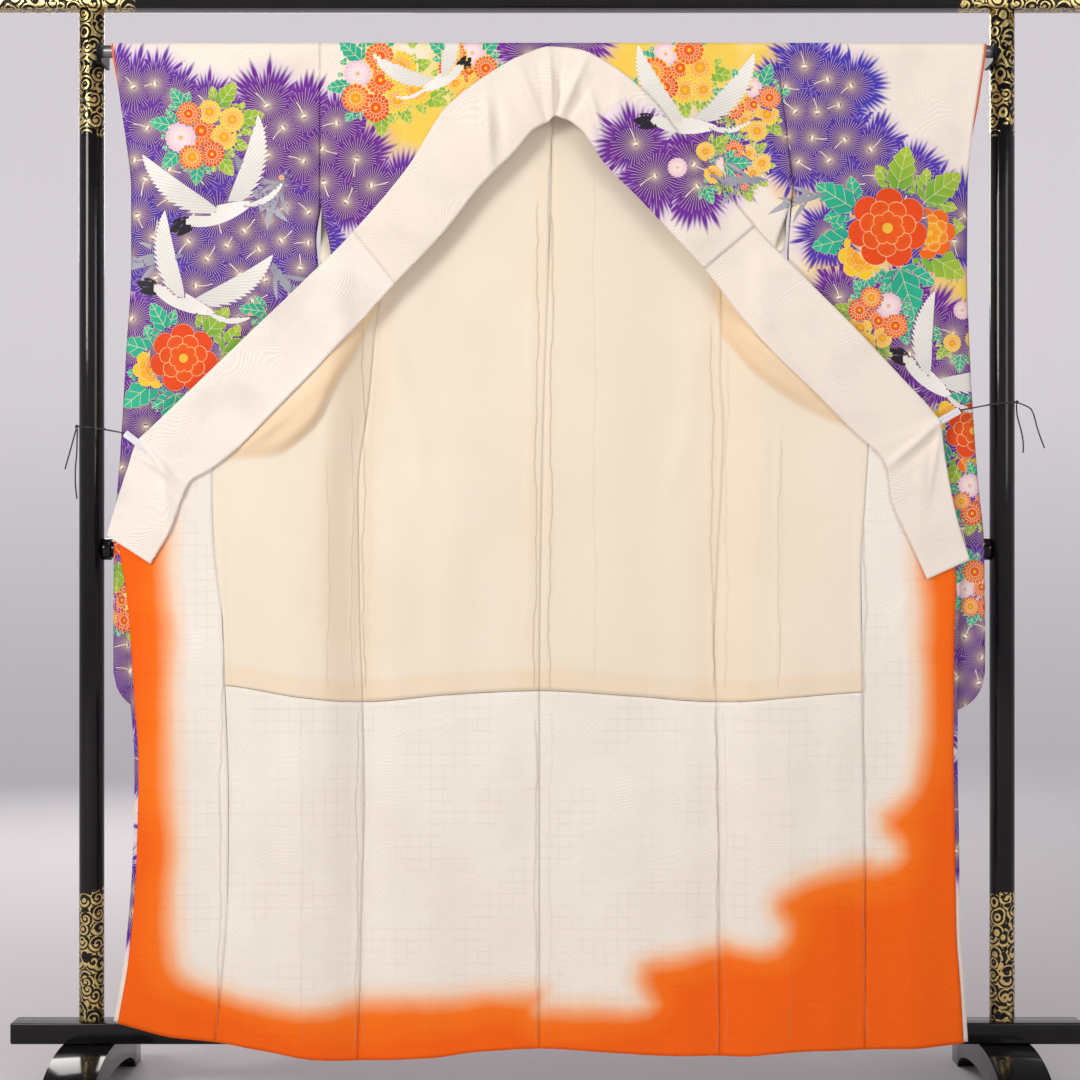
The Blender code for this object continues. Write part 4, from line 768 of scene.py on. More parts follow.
def figuredWeave(tree, pitch=0.0038, swirl=15.0):
    # the damask's raised lines wander 4 mm apart, over threads of 1 mm: both are coarser than real, to show
    cut = addNode(tree, "ShaderNodeUVMap", {"uv_map": "cut"}).outputs[0]
    parts = addNode(tree, "ShaderNodeSeparateXYZ", None, {0: cut})
    known = {"cut": cut, "u": parts.outputs[0], "v": parts.outputs[1]}
    for name, scale, detail, rough in (("wander", 9.0, 1.0, 0.4), ("patch", 14.0, 0.0, 0.5),
                                       ("thread", 900.0, 0.0, 0.5)):
        noise = addNode(tree, "ShaderNodeTexNoise", {"noise_dimensions": "2D"},
                        {"Vector": cut, "Scale": scale, "Detail": detail, "Roughness": rough})
        known[name] = noise.outputs[0]
    addSteps(tree, known, [
        ("slant", "MULTIPLY_ADD", "u", 0.55, "v"), ("slantLines", "MULTIPLY", "slant", 1.0 / pitch),
        ("lines", "MULTIPLY_ADD", "wander", swirl * 2, "slantLines"),
        ("angle", "MULTIPLY", "lines", 2 * math.pi), ("wave", "SINE", "angle"),
        ("strong", "SMOOTH_MIN", "patch", 0.62, 0.05), ("strongHere", "MULTIPLY_ADD", "strong", 2.2, -0.75),
        ("strongOnly", "MAXIMUM", "strongHere", 0.12), ("figure", "MULTIPLY", "wave", "strongOnly"),
        ("relief", "MULTIPLY_ADD", "thread", 0.35, "figure"),
        # the share of a lighter colour on the raised lines: painted sheen
        ("figureSheen", "MULTIPLY_ADD", "figure", 0.5, 0.5),
    ])
    return known


# Printed damask silk: rice-paste resist dyeing (yuzen) gives flat colours with pale paste lines between them,
# on a satin ground that glows softly
def makePrintedSilk():
    material, tree, shader = newMaterial(
        "yuzenDamaskSilk", Roughness=0.55, Sheen_Weight=0.06, Sheen_Roughness=0.4)
    shader.inputs["Specular IOR Level"].default_value = 0.25
    known = figuredWeave(tree)
    for name in ("dye", "tuft", "motifPlace", "motifShape", "motifTrim", "motifColour", "motifSecond"):
        source = addNode(tree, "ShaderNodeAttribute", {"attribute_name": name})
        known[name] = source.outputs["Vector"]
        parts = addNode(tree, "ShaderNodeSeparateXYZ", None, {0: known[name]})
        known.update(zip((name + "X", name + "Y", name + "Z"), parts.outputs))
    # a tuft's needles and the paste lines are a little coarser than real ones, so that they show
    needles, needleWide, lineWide = 44.0, 0.00027, 0.00056
    addSteps(tree, known, [
        ("tu", "SUBTRACT", "u", "tuftX"), ("tv", "SUBTRACT", "v", "tuftY"), ("tu2", "MULTIPLY", "tu", "tu"),
        ("tr2", "MULTIPLY_ADD", "tv", "tv", "tu2"), ("tr", "SQRT", "tr2"),
        ("tuftR", "MAXIMUM", "tuftZ", 0.001), ("far", "DIVIDE", "tr", "tuftR"),
        ("tAngle", "ARCTAN2", "tv", "tu"), ("needleAt", "MULTIPLY", "tAngle", needles / (2 * math.pi)),
        ("needleNo", "FLOOR", "needleAt"), ("needleF", "FRACT", "needleAt"),
        ("needleC", "SUBTRACT", "needleF", 0.5), ("needleOff", "ABSOLUTE", "needleC"),
        ("seedA", "MULTIPLY_ADD", "tuftX", 917.0, "needleNo"),
        ("seedB", "MULTIPLY_ADD", "tuftY", 531.0, "seedA"),
        ("arc", "MULTIPLY", "tr", 2 * math.pi / needles), ("side", "MULTIPLY", "needleOff", "arc"),
        ("stemSeed", "MULTIPLY_ADD", "tuftX", 417.0, "tuftY"),
    ])
    for name, seed in (("needleHash", "seedB"), ("stemHash", "stemSeed")):
        known[name] = addNode(tree, "ShaderNodeTexWhiteNoise", {"noise_dimensions": "1D"},
                              {"W": known[seed]}).outputs[0]
    addSteps(tree, known, [
        ("needleLong", "MULTIPLY_ADD", "needleHash", 0.55, 0.62),
        ("within0", "LESS_THAN", "far", "needleLong"), ("beyond", "GREATER_THAN", "tr", 0.0042),
        ("within", "MULTIPLY", "within0", "beyond"),
        *softStep("thin", "side", needleWide * 1.6, needleWide * 0.6),
        ("needle", "MULTIPLY", "thin", "within"), ("stripe", "MULTIPLY_ADD", "needleOff", -0.55, 0.2),
        ("hashPush", "MULTIPLY_ADD", "needleHash", 0.46, -0.23), ("pushed", "ADD", "stripe", "hashPush"),
        ("fringe", "ADD", "dyeX", "pushed"), *softStep("pine", "fringe", 0.4, 0.68),
        *softStep("glowAll", "dyeX", 0.12, 0.75), ("glow", "MULTIPLY", "glowAll", 0.62),
        ("stemAngle", "MULTIPLY", "stemHash", 2 * math.pi), ("stemCos", "COSINE", "stemAngle"),
        ("stemSin", "SINE", "stemAngle"), ("along1", "MULTIPLY", "tu", "stemCos"),
        ("along", "MULTIPLY_ADD", "tv", "stemSin", "along1"), ("aside1", "MULTIPLY", "tu", "stemSin"),
        ("aside2", "MULTIPLY", "tv", "stemCos"), ("aside3", "SUBTRACT", "aside2", "aside1"),
        ("curl", "MULTIPLY", "tr2", 7.0), ("aside4", "ADD", "aside3", "curl"),
        ("aside", "ABSOLUTE", "aside4"), ("lobe0", "SUBTRACT", "aside", 0.0015),
        ("lobe1", "MULTIPLY", "lobe0", "lobe0"), ("lobe2", "MULTIPLY_ADD", "along", "along", "lobe1"),
        ("lobe", "SQRT", "lobe2"), *softStep("heart", "lobe", 0.003, 0.002),
        *softStep("twigThin", "aside", 0.0009, 0.0004), ("ahead", "GREATER_THAN", "along", 0.0),
        ("twig", "MULTIPLY", "twigThin", "ahead"), ("marksA", "MAXIMUM", "twig", "heart"),
        ("tuftOnly", "LESS_THAN", "far", 0.62), ("marksB", "MULTIPLY", "marksA", "tuftOnly"),
        ("cream", "MULTIPLY", "marksB", "pine"), ("needleInk1", "MULTIPLY", "needle", "pine"),
        ("needleInk", "MULTIPLY", "needleInk1", 0.8), *softStep("outer", "far", 0.25, 1.0),
        *softStep("blue", "dyeY", 0.1, 0.9), *softStep("cloud", "dyeZ", 0.1, 1.12),
        ("cloudEdge1", "MULTIPLY_ADD", "cloud", 1.6, 0.0), ("cloudEdge", "MINIMUM", "cloudEdge1", 1.0),
    ])
    addSteps(tree, known, [
        # the silk ground, painted a little lighter on the damask's raised lines as painted sheen
        ("groundWithSheen", "BLEND", "figureSheen", "#EEE1D1", "#FCF5EB"),
        ("pale", "BLEND", "cloudEdge", "groundWithSheen", printColours["cloudEdge"]),
        ("yellow", "BLEND", "cloud", "pale", printColours["cloud"]),
        ("halo", "BLEND", "glow", "yellow", printColours["glow"]),
        ("dyeTint", "BLEND", "blue", printColours["purple"], printColours["violet"]),
        ("pineTint", "BLEND", "outer", printColours["deep"], "dyeTint"),
        ("pined", "BLEND", "pine", "halo", "pineTint"), ("needled", "BLEND", "needleInk", "pined", "#EAD3B4"),
        ("twigged", "BLEND", "cream", "needled", printColours["line"]),
    ])
    # The motif that this face belongs to, in its own place, turn and size
    addSteps(tree, known, [
        ("mu", "SUBTRACT", "u", "motifPlaceX"), ("mv", "SUBTRACT", "v", "motifPlaceY"),
        ("cosT", "COSINE", "motifPlaceZ"), ("sinT", "SINE", "motifPlaceZ"),
        ("size", "MAXIMUM", "motifShapeX", 0.001), ("xa", "MULTIPLY", "mu", "cosT"),
        ("xb", "MULTIPLY_ADD", "mv", "sinT", "xa"), ("x", "DIVIDE", "xb", "size"),
        ("ya", "MULTIPLY", "mu", "sinT"), ("yb", "MULTIPLY", "mv", "cosT"), ("yc", "SUBTRACT", "yb", "ya"),
        ("y", "DIVIDE", "yc", "size"), ("lineWide", "DIVIDE", lineWide, "size"),
        # a flower: three rings of petals
        ("x2", "MULTIPLY", "x", "x"), ("r2", "MULTIPLY_ADD", "y", "y", "x2"), ("r", "SQRT", "r2"),
        ("theta", "ARCTAN2", "y", "x"), ("halfPetals", "MULTIPLY", "motifShapeY", 0.5),
        ("petalTurn", "MULTIPLY", "theta", "halfPetals"), ("petalCos", "COSINE", "petalTurn"),
        ("petalSin", "SINE", "petalTurn"), ("crest", "ABSOLUTE", "petalCos"),
        ("crestB", "ABSOLUTE", "petalSin"), ("crestSoft", "POWER", "crest", 0.6),
        ("crestSoftB", "POWER", "crestB", 0.6), ("rim0", "MULTIPLY_ADD", "crestSoft", "motifTrimZ", 1.0),
        ("rim", "SUBTRACT", "rim0", "motifTrimZ"),
        ("rimB0", "MULTIPLY_ADD", "crestSoftB", "motifTrimZ", 1.0),
        ("rimB1", "SUBTRACT", "rimB0", "motifTrimZ"), ("rimB", "MULTIPLY", "rimB1", 0.7),
        ("rimC", "MULTIPLY", "rim", 0.42), ("inA", "SUBTRACT", "rim", "r"),
        ("inB", "SUBTRACT", "rimB", "r"), ("inC", "SUBTRACT", "rimC", "r"), ("edgeA", "ABSOLUTE", "inA"),
        ("edgeB", "ABSOLUTE", "inB"), ("edgeC", "ABSOLUTE", "inC"), ("edgeAB", "MINIMUM", "edgeA", "edgeB"),
        ("edges", "MINIMUM", "edgeAB", "edgeC"), ("parting", "MULTIPLY", "crest", "r"),
        ("partingB", "MULTIPLY", "crestB", "r"), ("isInB", "GREATER_THAN", "inB", 0.0),
        ("isInC", "GREATER_THAN", "inC", 0.0), ("gapB", "SUBTRACT", "partingB", "parting"),
        ("gap1", "MULTIPLY_ADD", "gapB", "isInB", "parting"), ("gapC", "SUBTRACT", "parting", "gap1"),
        ("gap2", "MULTIPLY_ADD", "gapC", "isInC", "gap1"), ("gapWide", "DIVIDE", "gap2", "halfPetals"),
        ("gapFar0", "MULTIPLY_ADD", "isInC", 0.3, 0.0), ("gapSmall", "ADD", "gapWide", "gapFar0"),
        ("flowerLine", "MINIMUM", "edges", "gapSmall"), ("isFlowerIn", "GREATER_THAN", "inA", 0.0),
        ("core", "LESS_THAN", "r", 0.13),
        # a leaf, wing, bough or body: a bent, toothed blade
        ("oneMinus", "SUBTRACT", 1.0, "x"), ("bow0", "MULTIPLY", "x", "oneMinus"),
        ("bow", "MULTIPLY", "bow0", "motifTrimX"), ("yBow", "SUBTRACT", "y", "bow"),
        ("yAbs", "ABSOLUTE", "yBow"), ("x01a", "MAXIMUM", "x", 0.0), ("x01", "MINIMUM", "x01a", 1.0),
        ("x10", "SUBTRACT", 1.0, "x01"), ("wide1", "POWER", "x01", 0.6), ("wide2", "POWER", "x10", 0.8),
        ("wide3", "MULTIPLY", "wide1", "wide2"), ("wide4", "MULTIPLY", "wide3", 2.2),
        ("wide5", "MULTIPLY", "wide4", "motifShapeY"),
        # a wing has its teeth on the trailing side, which is the wider one, and feathers that slant to it
        ("isWing0", "SUBTRACT", "motifShapeZ", 3.5), ("isWing1", "ABSOLUTE", "isWing0"),
        ("isWing", "LESS_THAN", "isWing1", 0.9), ("wingWay", "MULTIPLY", "isWing0", -2.0),
        ("trail0", "MULTIPLY", "yBow", "wingWay"), ("trails", "GREATER_THAN", "trail0", 0.0),
        ("leads0", "SUBTRACT", 1.0, "trails"), ("leads", "MULTIPLY", "leads0", "isWing"),
        ("slender", "MULTIPLY_ADD", "leads", -0.62, 1.0), ("sided", "SUBTRACT", 1.0, "leads"),
        ("leafSweep", "MULTIPLY_ADD", "yAbs", -0.9, "x"),
        ("wingSweep", "MULTIPLY_ADD", "trail0", -1.9, "x"),
        ("sweepStep", "SUBTRACT", "wingSweep", "leafSweep"),
        ("sweep", "MULTIPLY_ADD", "sweepStep", "isWing", "leafSweep"),
        ("toothAt", "MULTIPLY", "sweep", "motifTrimY"), ("tooth", "FRACT", "toothAt"),
        ("bite0", "MULTIPLY", "tooth", "motifTrimZ"), ("bite", "MULTIPLY", "bite0", "sided"),
        ("keep", "SUBTRACT", 1.0, "bite"), ("wide6", "MULTIPLY", "wide5", "keep"),
        ("wide", "MULTIPLY", "wide6", "slender"), ("inBlade", "SUBTRACT", "wide", "yAbs"),
        ("isBladeIn", "GREATER_THAN", "inBlade", 0.0), ("bladeEdge", "ABSOLUTE", "inBlade"),
        ("veinC", "SUBTRACT", "tooth", 0.5), ("veinC2", "ABSOLUTE", "veinC"),
        ("veinGap", "SUBTRACT", 0.5, "veinC2"), ("teeth", "MAXIMUM", "motifTrimY", 0.5),
        ("vein", "DIVIDE", "veinGap", "teeth"), ("veinNone", "LESS_THAN", "motifTrimY", 1.0),
        ("veinFar", "ADD", "vein", "veinNone"), ("ribFar0", "ADD", "yAbs", "veinNone"),
        ("ribFar", "ADD", "ribFar0", "isWing"), ("lines1", "MINIMUM", "bladeEdge", "veinFar"),
        ("bladeLine", "MINIMUM", "lines1", "ribFar"),
        # which of the two it is
        ("isBlade", "GREATER_THAN", "motifShapeZ", 1.5), ("isMotif", "GREATER_THAN", "motifShapeZ", 0.5),
        ("lineStep", "SUBTRACT", "bladeLine", "flowerLine"),
        ("lineAway", "MULTIPLY_ADD", "lineStep", "isBlade", "flowerLine"),
        ("inStep", "SUBTRACT", "isBladeIn", "isFlowerIn"),
        ("isIn0", "MULTIPLY_ADD", "inStep", "isBlade", "isFlowerIn"),
        ("isIn", "MULTIPLY", "isIn0", "isMotif"), ("lineShare", "DIVIDE", "lineAway", "lineWide"),
        ("line0", "SUBTRACT", 1.35, "lineShare"), ("line1", "MAXIMUM", "line0", 0.0),
        ("line2", "MINIMUM", "line1", 1.0), ("lineInk", "MULTIPLY", "line2", "isIn"),
        ("flowerShade0", "MULTIPLY_ADD", "r", -0.9, 0.75),
        ("ringShade", "MULTIPLY_ADD", "isInB", 0.22, "flowerShade0"), ("nearRim", "MULTIPLY", "edges", 1.8),
        ("flowerShade", "SUBTRACT", "ringShade", "nearRim"),
        ("bladeShade0", "MULTIPLY_ADD", "x", -0.8, 0.75),
        ("bladeShade", "MULTIPLY_ADD", "tooth", 0.25, "bladeShade0"),
        ("shadeStep", "SUBTRACT", "bladeShade", "flowerShade"),
        ("shade0", "MULTIPLY_ADD", "shadeStep", "isBlade", "flowerShade"),
        ("shade1", "MAXIMUM", "shade0", 0.0), ("shade", "MINIMUM", "shade1", 1.0),
        ("notBlade", "SUBTRACT", 1.0, "isBlade"), ("coreInk0", "MULTIPLY", "core", "notBlade"),
        ("coreInk", "MULTIPLY", "coreInk0", "isIn"), ("isBird", "GREATER_THAN", "motifShapeZ", 2.5),
        ("isSmooth", "GREATER_THAN", "motifShapeZ", 4.5),
        ("lineFade0", "MULTIPLY_ADD", "isBird", -0.25, 0.75),
        ("lineFade", "MULTIPLY_ADD", "isSmooth", -0.35, "lineFade0"),
        ("lineSoft", "MULTIPLY", "lineInk", "lineFade"),
    ])
    addSteps(tree, known, [
        ("motif", "BLEND", "shade", "motifColour", "motifSecond"),
        ("withMotif", "BLEND", "isIn", "twigged", "motif"),
        ("withCore", "BLEND", "coreInk", "withMotif", "#F2C23C"),
        ("lineTint", "BLEND", "isBird", "#F9E9B4", "#8F8A80"),
        ("printed", "BLEND", "lineSoft", "withCore", "lineTint"),
    ])
    tree.links.new(known["printed"], shader.inputs["Base Color"])
    bump = addNode(tree, "ShaderNodeBump", None, {"Distance": 0.00028, "Height": known["relief"]})
    tree.links.new(bump.outputs[0], shader.inputs["Normal"])
    return material


# White damask silk with no print, for the left collar: the raised lines are painted a little lighter, as
# painted sheen
def makeWhiteDamask():
    material, tree, shader = newMaterial(
        "whiteDamaskSilk", Roughness=0.52, Sheen_Weight=0.06, Sheen_Roughness=0.35)
    known = figuredWeave(tree)
    addSteps(tree, known, [("base", "BLEND", "figureSheen", "#F4E9DD", "#FCF5EC")])
    tree.links.new(known["base"], shader.inputs["Base Color"])
    bump = addNode(tree, "ShaderNodeBump", None, {"Distance": 0.00036, "Height": known["relief"]})
    tree.links.new(bump.outputs[0], shader.inputs["Normal"])
    return material


# Where the linings' layers are sewn or pressed: x and drop at the upper end, the same at the foot, how strong
upperSeams = [
    (-0.014, 0.23, -0.02, 1.0, 1.0), (0.0085, 0.24, 0.003, 1.0, 1.0), (0.006, 0.13, 0.001, 0.33, 0.5),
    (0.072, 0.19, 0.074, 0.99, 0.4), (-0.284, 0.42, -0.284, 1.0, 0.9), (-0.302, 0.56, -0.302, 1.0, 0.5),
    (0.254, 0.42, 0.256, 1.0, 0.9), (0.279, 0.47, 0.276, 1.0, 0.5), (0.357, 0.6, 0.354, 1.0, 0.6),
    (-0.337, 0.63, -0.337, 1.0, 0.5),
]
lowerSeams = [
    (-0.018, 1.02, -0.018, 1.545, 0.8), (0.006, 1.02, 0.003, 1.54, 0.4), (-0.293, 1.02, -0.296, 1.56, 0.9),
    (0.262, 1.02, 0.264, 1.56, 0.9), (-0.494, 0.6, -0.507, 1.53, 0.9), (0.486, 0.6, 0.49, 1.54, 0.9),
    (-0.286, 1.02, -0.284, 1.56, 0.4), (0.275, 1.02, 0.276, 1.56, 0.4), (-0.376, 1.02, -0.378, 1.54, 0.3),
    (0.372, 1.02, 0.374, 1.54, 0.3),
]


# Lining of damask or plain silk, shaded to orange by hand-brushed dye (bokashi): the edge fades over 3 cm
liningDye = {"pale": "#FFC48C", "bright": "#FF7C12", "deep": "#FA6300"}


def makeLining(name, colours, figured):
    material, tree, shader = newMaterial(name, Roughness=0.65)
    shader.inputs["Specular IOR Level"].default_value = 0.04
    known = figuredWeave(tree, pitch=0.0046, swirl=9.0)
    mottle = addNode(tree, "ShaderNodeTexNoise", {"noise_dimensions": "2D"},
                     {"Vector": known["cut"], "Scale": 5.0, "Detail": 2.0, "Roughness": 0.5})
    dye = addNode(tree, "ShaderNodeAttribute", {"attribute_name": "dye"})
    parts = addNode(tree, "ShaderNodeSeparateXYZ", None, {0: dye.outputs["Vector"]})
    known["orange"], known["layersAndShade"], known["line"] = parts.outputs
    known["mottle"] = mottle.outputs[0]
    known["press"] = addNode(tree, "ShaderNodeAttribute", {"attribute_name": "press"}).outputs["Fac"]
    addSteps(tree, known, [
        ("wobble", "MULTIPLY_ADD", "mottle", 0.028, -0.014), ("edge", "ADD", "orange", "wobble"),
        *softStep("dyedRaw", "edge", -0.014, 0.02), *softStep("tinged", "edge", -0.034, 0.004),
        ("dyed", "SMOOTH_MIN", "dyedRaw", 1.0, 0.2),
        ("tingedLow", "MULTIPLY", "tinged", 0.85), *softStep("mottled", "mottle", 0.35, 0.65),
        ("deepAt", "MULTIPLY_ADD", "mottle", 0.1, "orange"), *softStep("deepened", "deepAt", 0.05, 0.105),
        # small squares of satin, 18 mm apart, in patches between the wandering lines
        ("cellU", "MULTIPLY", "u", 1 / 0.018), ("cellV", "MULTIPLY", "v", 1 / 0.018),
        ("cellFU", "FRACT", "cellU"), ("cellFV", "FRACT", "cellV"), ("cellLU", "LESS_THAN", "cellFU", 0.09),
        ("cellLV", "LESS_THAN", "cellFV", 0.09), ("cellLine", "MAXIMUM", "cellLU", "cellLV"),
        *softStep("cellPatch", "patch", 0.5, 0.42), ("squares", "MULTIPLY", "cellLine", "cellPatch"),
        ("figured0", "MULTIPLY_ADD", "squares", -0.9, "figure"),
        ("figureOnly", "MULTIPLY", "figured0", 1.0 if figured else 0.1),
        ("threads", "MULTIPLY_ADD", "thread", 0.4, "figureOnly"),
        # painted sheen: the figure's lines lighter and its satin squares darker; the mottle added next is the
        # silk's own tone
        ("liningFigureSheen", "MULTIPLY_ADD", "figureOnly", 0.5, 0.5),
        ("tone0", "MULTIPLY_ADD", "mottled", 0.6, "liningFigureSheen"), ("tone", "MULTIPLY", "tone0", 0.62),
        # the sewn and pressed lines, 4 mm wide at most: bumped, and darkened with painted shade
        ("lineFar", "ABSOLUTE", "line"), *softStep("lineThin", "lineFar", 0.0021, 0.0004),
        ("pressed", "MULTIPLY", "lineThin", "press"), ("seamShade", "MULTIPLY", "pressed", 0.27),
        ("surface", "MULTIPLY_ADD", "pressed", 4.0, "threads"),
        ("ground", "BLEND", "tone", colours["low"], colours["raised"]),
        # the darker peach of two layers together, and painted shade in the loose roll, from dye's second
        # number
        ("shaded", "BLEND", "layersAndShade", "ground", colours["doubledAndShaded"]),
        ("edged", "BLEND", "tingedLow", "shaded", liningDye["pale"]),
        ("dyeTone", "BLEND", "deepened", liningDye["bright"], liningDye["deep"]),
        ("brushed", "BLEND", "dyed", "edged", "dyeTone"),
        # painted shade: the seam colour darkens the sewn and pressed creases
        ("done", "BLEND", "seamShade", "brushed", colours["seam"]),
    ])
    tree.links.new(known["done"], shader.inputs["Base Color"])
    bump = addNode(tree, "ShaderNodeBump", None, {"Distance": 0.00018, "Height": known["surface"]})
    tree.links.new(bump.outputs[0], shader.inputs["Normal"])
    return material


# Plain orange silk (habutae) of the cuff's facing: even threads and no figure
def makeOrangeSilk():
    material, tree, shader = newMaterial(
        "orangeHabutaeSilk", Roughness=0.58, Sheen_Weight=0.06, Sheen_Roughness=0.4)
    known = figuredWeave(tree)
    addSteps(tree, known, [("base", "BLEND", "thread", "#F4641A", "#FB7C2C")])
    tree.links.new(known["base"], shader.inputs["Base Color"])
    bump = addNode(tree, "ShaderNodeBump", None, {"Distance": 0.0001, "Height": known["thread"]})
    tree.links.new(bump.outputs[0], shader.inputs["Normal"])
    return material


# Black urushi lacquer over cypress: mirror gloss with faint waves 18 mm across, and gold maki-e scrolls where
# a table says so
def makeLacquer(name, scrolls=None):
    material, tree, shader = newMaterial(name, Roughness=0.12)
    shader.inputs["Specular IOR Level"].default_value = 0.28
    position = addNode(tree, "ShaderNodeTexCoord").outputs["Object"]
    peel = addNode(tree, "ShaderNodeTexNoise", None, {"Vector": position, "Scale": 55.0})
    parts = addNode(tree, "ShaderNodeSeparateXYZ", None, {0: position})
    known = {"peel": peel.outputs[0], "px": parts.outputs[0], "pz": parts.outputs[2]}
    addSteps(tree, known, [("black", "BLEND", "peel", "#0E0D0F", "#171517")])
    if scrolls:
        # scrolls: little spirals in cells 20 mm across, drawn as gold lines about 2.5 mm wide
        cell = addNode(tree, "ShaderNodeTexVoronoi", {"voronoi_dimensions": "3D"},
                       {"Vector": position, "Scale": 48.0, "Randomness": 0.85})
        off = addNode(tree, "ShaderNodeVectorMath", {"operation": "SUBTRACT"},
                      {0: position, 1: cell.outputs["Position"]}).outputs[0]
        around = addNode(tree, "ShaderNodeSeparateXYZ", None, {0: off})
        hue = addNode(tree, "ShaderNodeSeparateColor", None, {0: cell.outputs["Color"]})
        known["ox"], known["oy"], known["oz"] = around.outputs
        known["spin"], known["far"] = hue.outputs[0], cell.outputs["Distance"]
        addSteps(tree, known, [
            ("flat", "ADD", "ox", "oy"), ("turnAt", "ARCTAN2", "oz", "flat"),
            ("turn", "MULTIPLY", "turnAt", 1 / (2 * math.pi)),
            ("spiral0", "MULTIPLY_ADD", "far", 3.1, "turn"), ("spiral", "ADD", "spiral0", "spin"),
            ("spiralF", "FRACT", "spiral"), ("spiralC", "SUBTRACT", "spiralF", 0.5),
            ("spiralA", "ABSOLUTE", "spiralC"), ("swell", "MULTIPLY_ADD", "turnAt", 0.035, "spiralA"),
            *softStep("goldLine", "swell", 0.26, 0.14), ("dot", "LESS_THAN", "far", 0.1),
            ("goldAll", "MAXIMUM", "goldLine", "dot"), ("pzShift", "MULTIPLY_ADD", "spin", 0.022, "pz"),
            ("zoneZ", "ADD", "pzShift", -0.011),
            *scrolls,
            ("gold", "MULTIPLY", "goldAll", "zone"), ("rough", "MULTIPLY_ADD", "gold", 0.22, 0.1),
            ("height", "MULTIPLY_ADD", "gold", 1.0, "peel"), ("colour", "BLEND", "gold", "black", "#E9D08A"),
        ])
        tree.links.new(known["gold"], shader.inputs["Metallic"])
        tree.links.new(known["rough"], shader.inputs["Roughness"])
        tree.links.new(known["colour"], shader.inputs["Base Color"])
        bump = addNode(tree, "ShaderNodeBump", None, {"Distance": 0.00012, "Height": known["height"]})
        tree.links.new(bump.outputs[0], shader.inputs["Normal"])
    else:
        tree.links.new(known["black"], shader.inputs["Base Color"])
        bump = addNode(tree, "ShaderNodeBump", None, {"Distance": 0.00005, "Height": known["peel"]})
        tree.links.new(bump.outputs[0], shader.inputs["Normal"])
    return material


# Gold on the posts above 1.5 m and between 0.1 m and 0.31 m, and on the top rail from 0.64 m out
postScrolls = [
    *softStep("top", "zoneZ", 1.498, 1.501), *softStep("above", "zoneZ", 0.1, 0.103),
    *softStep("below", "zoneZ", 0.312, 0.309), ("foot", "MULTIPLY", "above", "below"),
    ("zone", "MAXIMUM", "top", "foot"),
]
railScrolls = [("xAbs", "ABSOLUTE", "px"), *softStep("zone", "xAbs", 0.64, 0.646)]


# Satin steel, grey from handling, drawn through a die: its lines are 1.4 mm apart, coarser than real, to show
def makeSteel(name, colours, roughness):
    material, tree, shader = newMaterial(name, Roughness=roughness, Metallic=0.85)
    position = addNode(tree, "ShaderNodeTexCoord").outputs["Object"]
    stretched = addNode(tree, "ShaderNodeMapping", None, {0: position, "Scale": (3.0, 700.0, 700.0)})
    drawn = addNode(tree, "ShaderNodeTexNoise", None, {"Vector": stretched.outputs[0], "Scale": 1.0})
    known = {"drawn": drawn.outputs[0]}
    addSteps(tree, known, [("tone", "BLEND", "drawn", *colours)])
    tree.links.new(known["tone"], shader.inputs["Base Color"])
    bump = addNode(tree, "ShaderNodeBump", None, {"Distance": 0.00003, "Height": known["drawn"]})
    tree.links.new(bump.outputs[0], shader.inputs["Normal"])
    return material


# Moulded ABS of the clips: pale, slightly blue, with a mould grain of 1 mm, coarser than real, to show
def makeClipPlastic():
    material, tree, shader = newMaterial("pearlAbsPlastic", Roughness=0.3)
    position = addNode(tree, "ShaderNodeTexCoord").outputs["Object"]
    grain = addNode(tree, "ShaderNodeTexNoise", None, {"Vector": position, "Scale": 900.0})
    known = {"grain": grain.outputs[0]}
    addSteps(tree, known, [("tone", "BLEND", "grain", "#D9DFE5", "#F1F3F5")])
    tree.links.new(known["tone"], shader.inputs["Base Color"])
    bump = addNode(tree, "ShaderNodeBump", None, {"Distance": 0.00003, "Height": known["grain"]})
    tree.links.new(bump.outputs[0], shader.inputs["Normal"])
    return material


# Twisted rayon cord: dark and matt, its plies drawn as bands 9 mm apart, coarser than real, to show
def makeCordYarn():
    material, tree, shader = newMaterial("twistedRayonCord", Roughness=0.8, Sheen_Weight=0.2)
    position = addNode(tree, "ShaderNodeTexCoord").outputs["Object"]
    ply = addNode(tree, "ShaderNodeTexWave", {"bands_direction": "DIAGONAL"},
                  {"Vector": position, "Scale": 70.0, "Distortion": 0.5})
    known = {"ply": ply.outputs[0]}
    addSteps(tree, known, [("tone", "BLEND", "ply", "#17161A", "#34323A")])
    tree.links.new(known["tone"], shader.inputs["Base Color"])
    bump = addNode(tree, "ShaderNodeBump", None, {"Distance": 0.0002, "Height": known["ply"]})
    tree.links.new(bump.outputs[0], shader.inputs["Normal"])
    return material


printedSilk = makePrintedSilk()
whiteDamask = makeWhiteDamask()
# each lining's third colour is the peach of two layers together and the loose roll's painted shade; seam is
# the painted shade of sewn and pressed creases
upperLining = makeLining("plainHabutaeLining", {
    "low": "#F1E5CC", "raised": "#F8EFDD", "doubledAndShaded": "#F3D9B3", "seam": "#B89A70"}, False)
lowerLining = makeLining("brushedDamaskLining", {
    "low": "#F0E9DD", "raised": "#FCF8EE", "doubledAndShaded": "#F1E6D4", "seam": "#B7A58E"}, True)
orangeSilk = makeOrangeSilk()
plainLacquer = makeLacquer("blackUrushiLacquer")
postLacquer = makeLacquer("scrolledPostLacquer", postScrolls)
railLacquer = makeLacquer("scrolledRailLacquer", railScrolls)
rodSteel = makeSteel("drawnSteelTube", ("#6E7075", "#8A8C90"), 0.38)
bracketSteel = makeSteel("blackenedSteel", ("#151517", "#242427"), 0.45)
clipPlastic = makeClipPlastic()
cordYarn = makeCordYarn()
print("materials made")


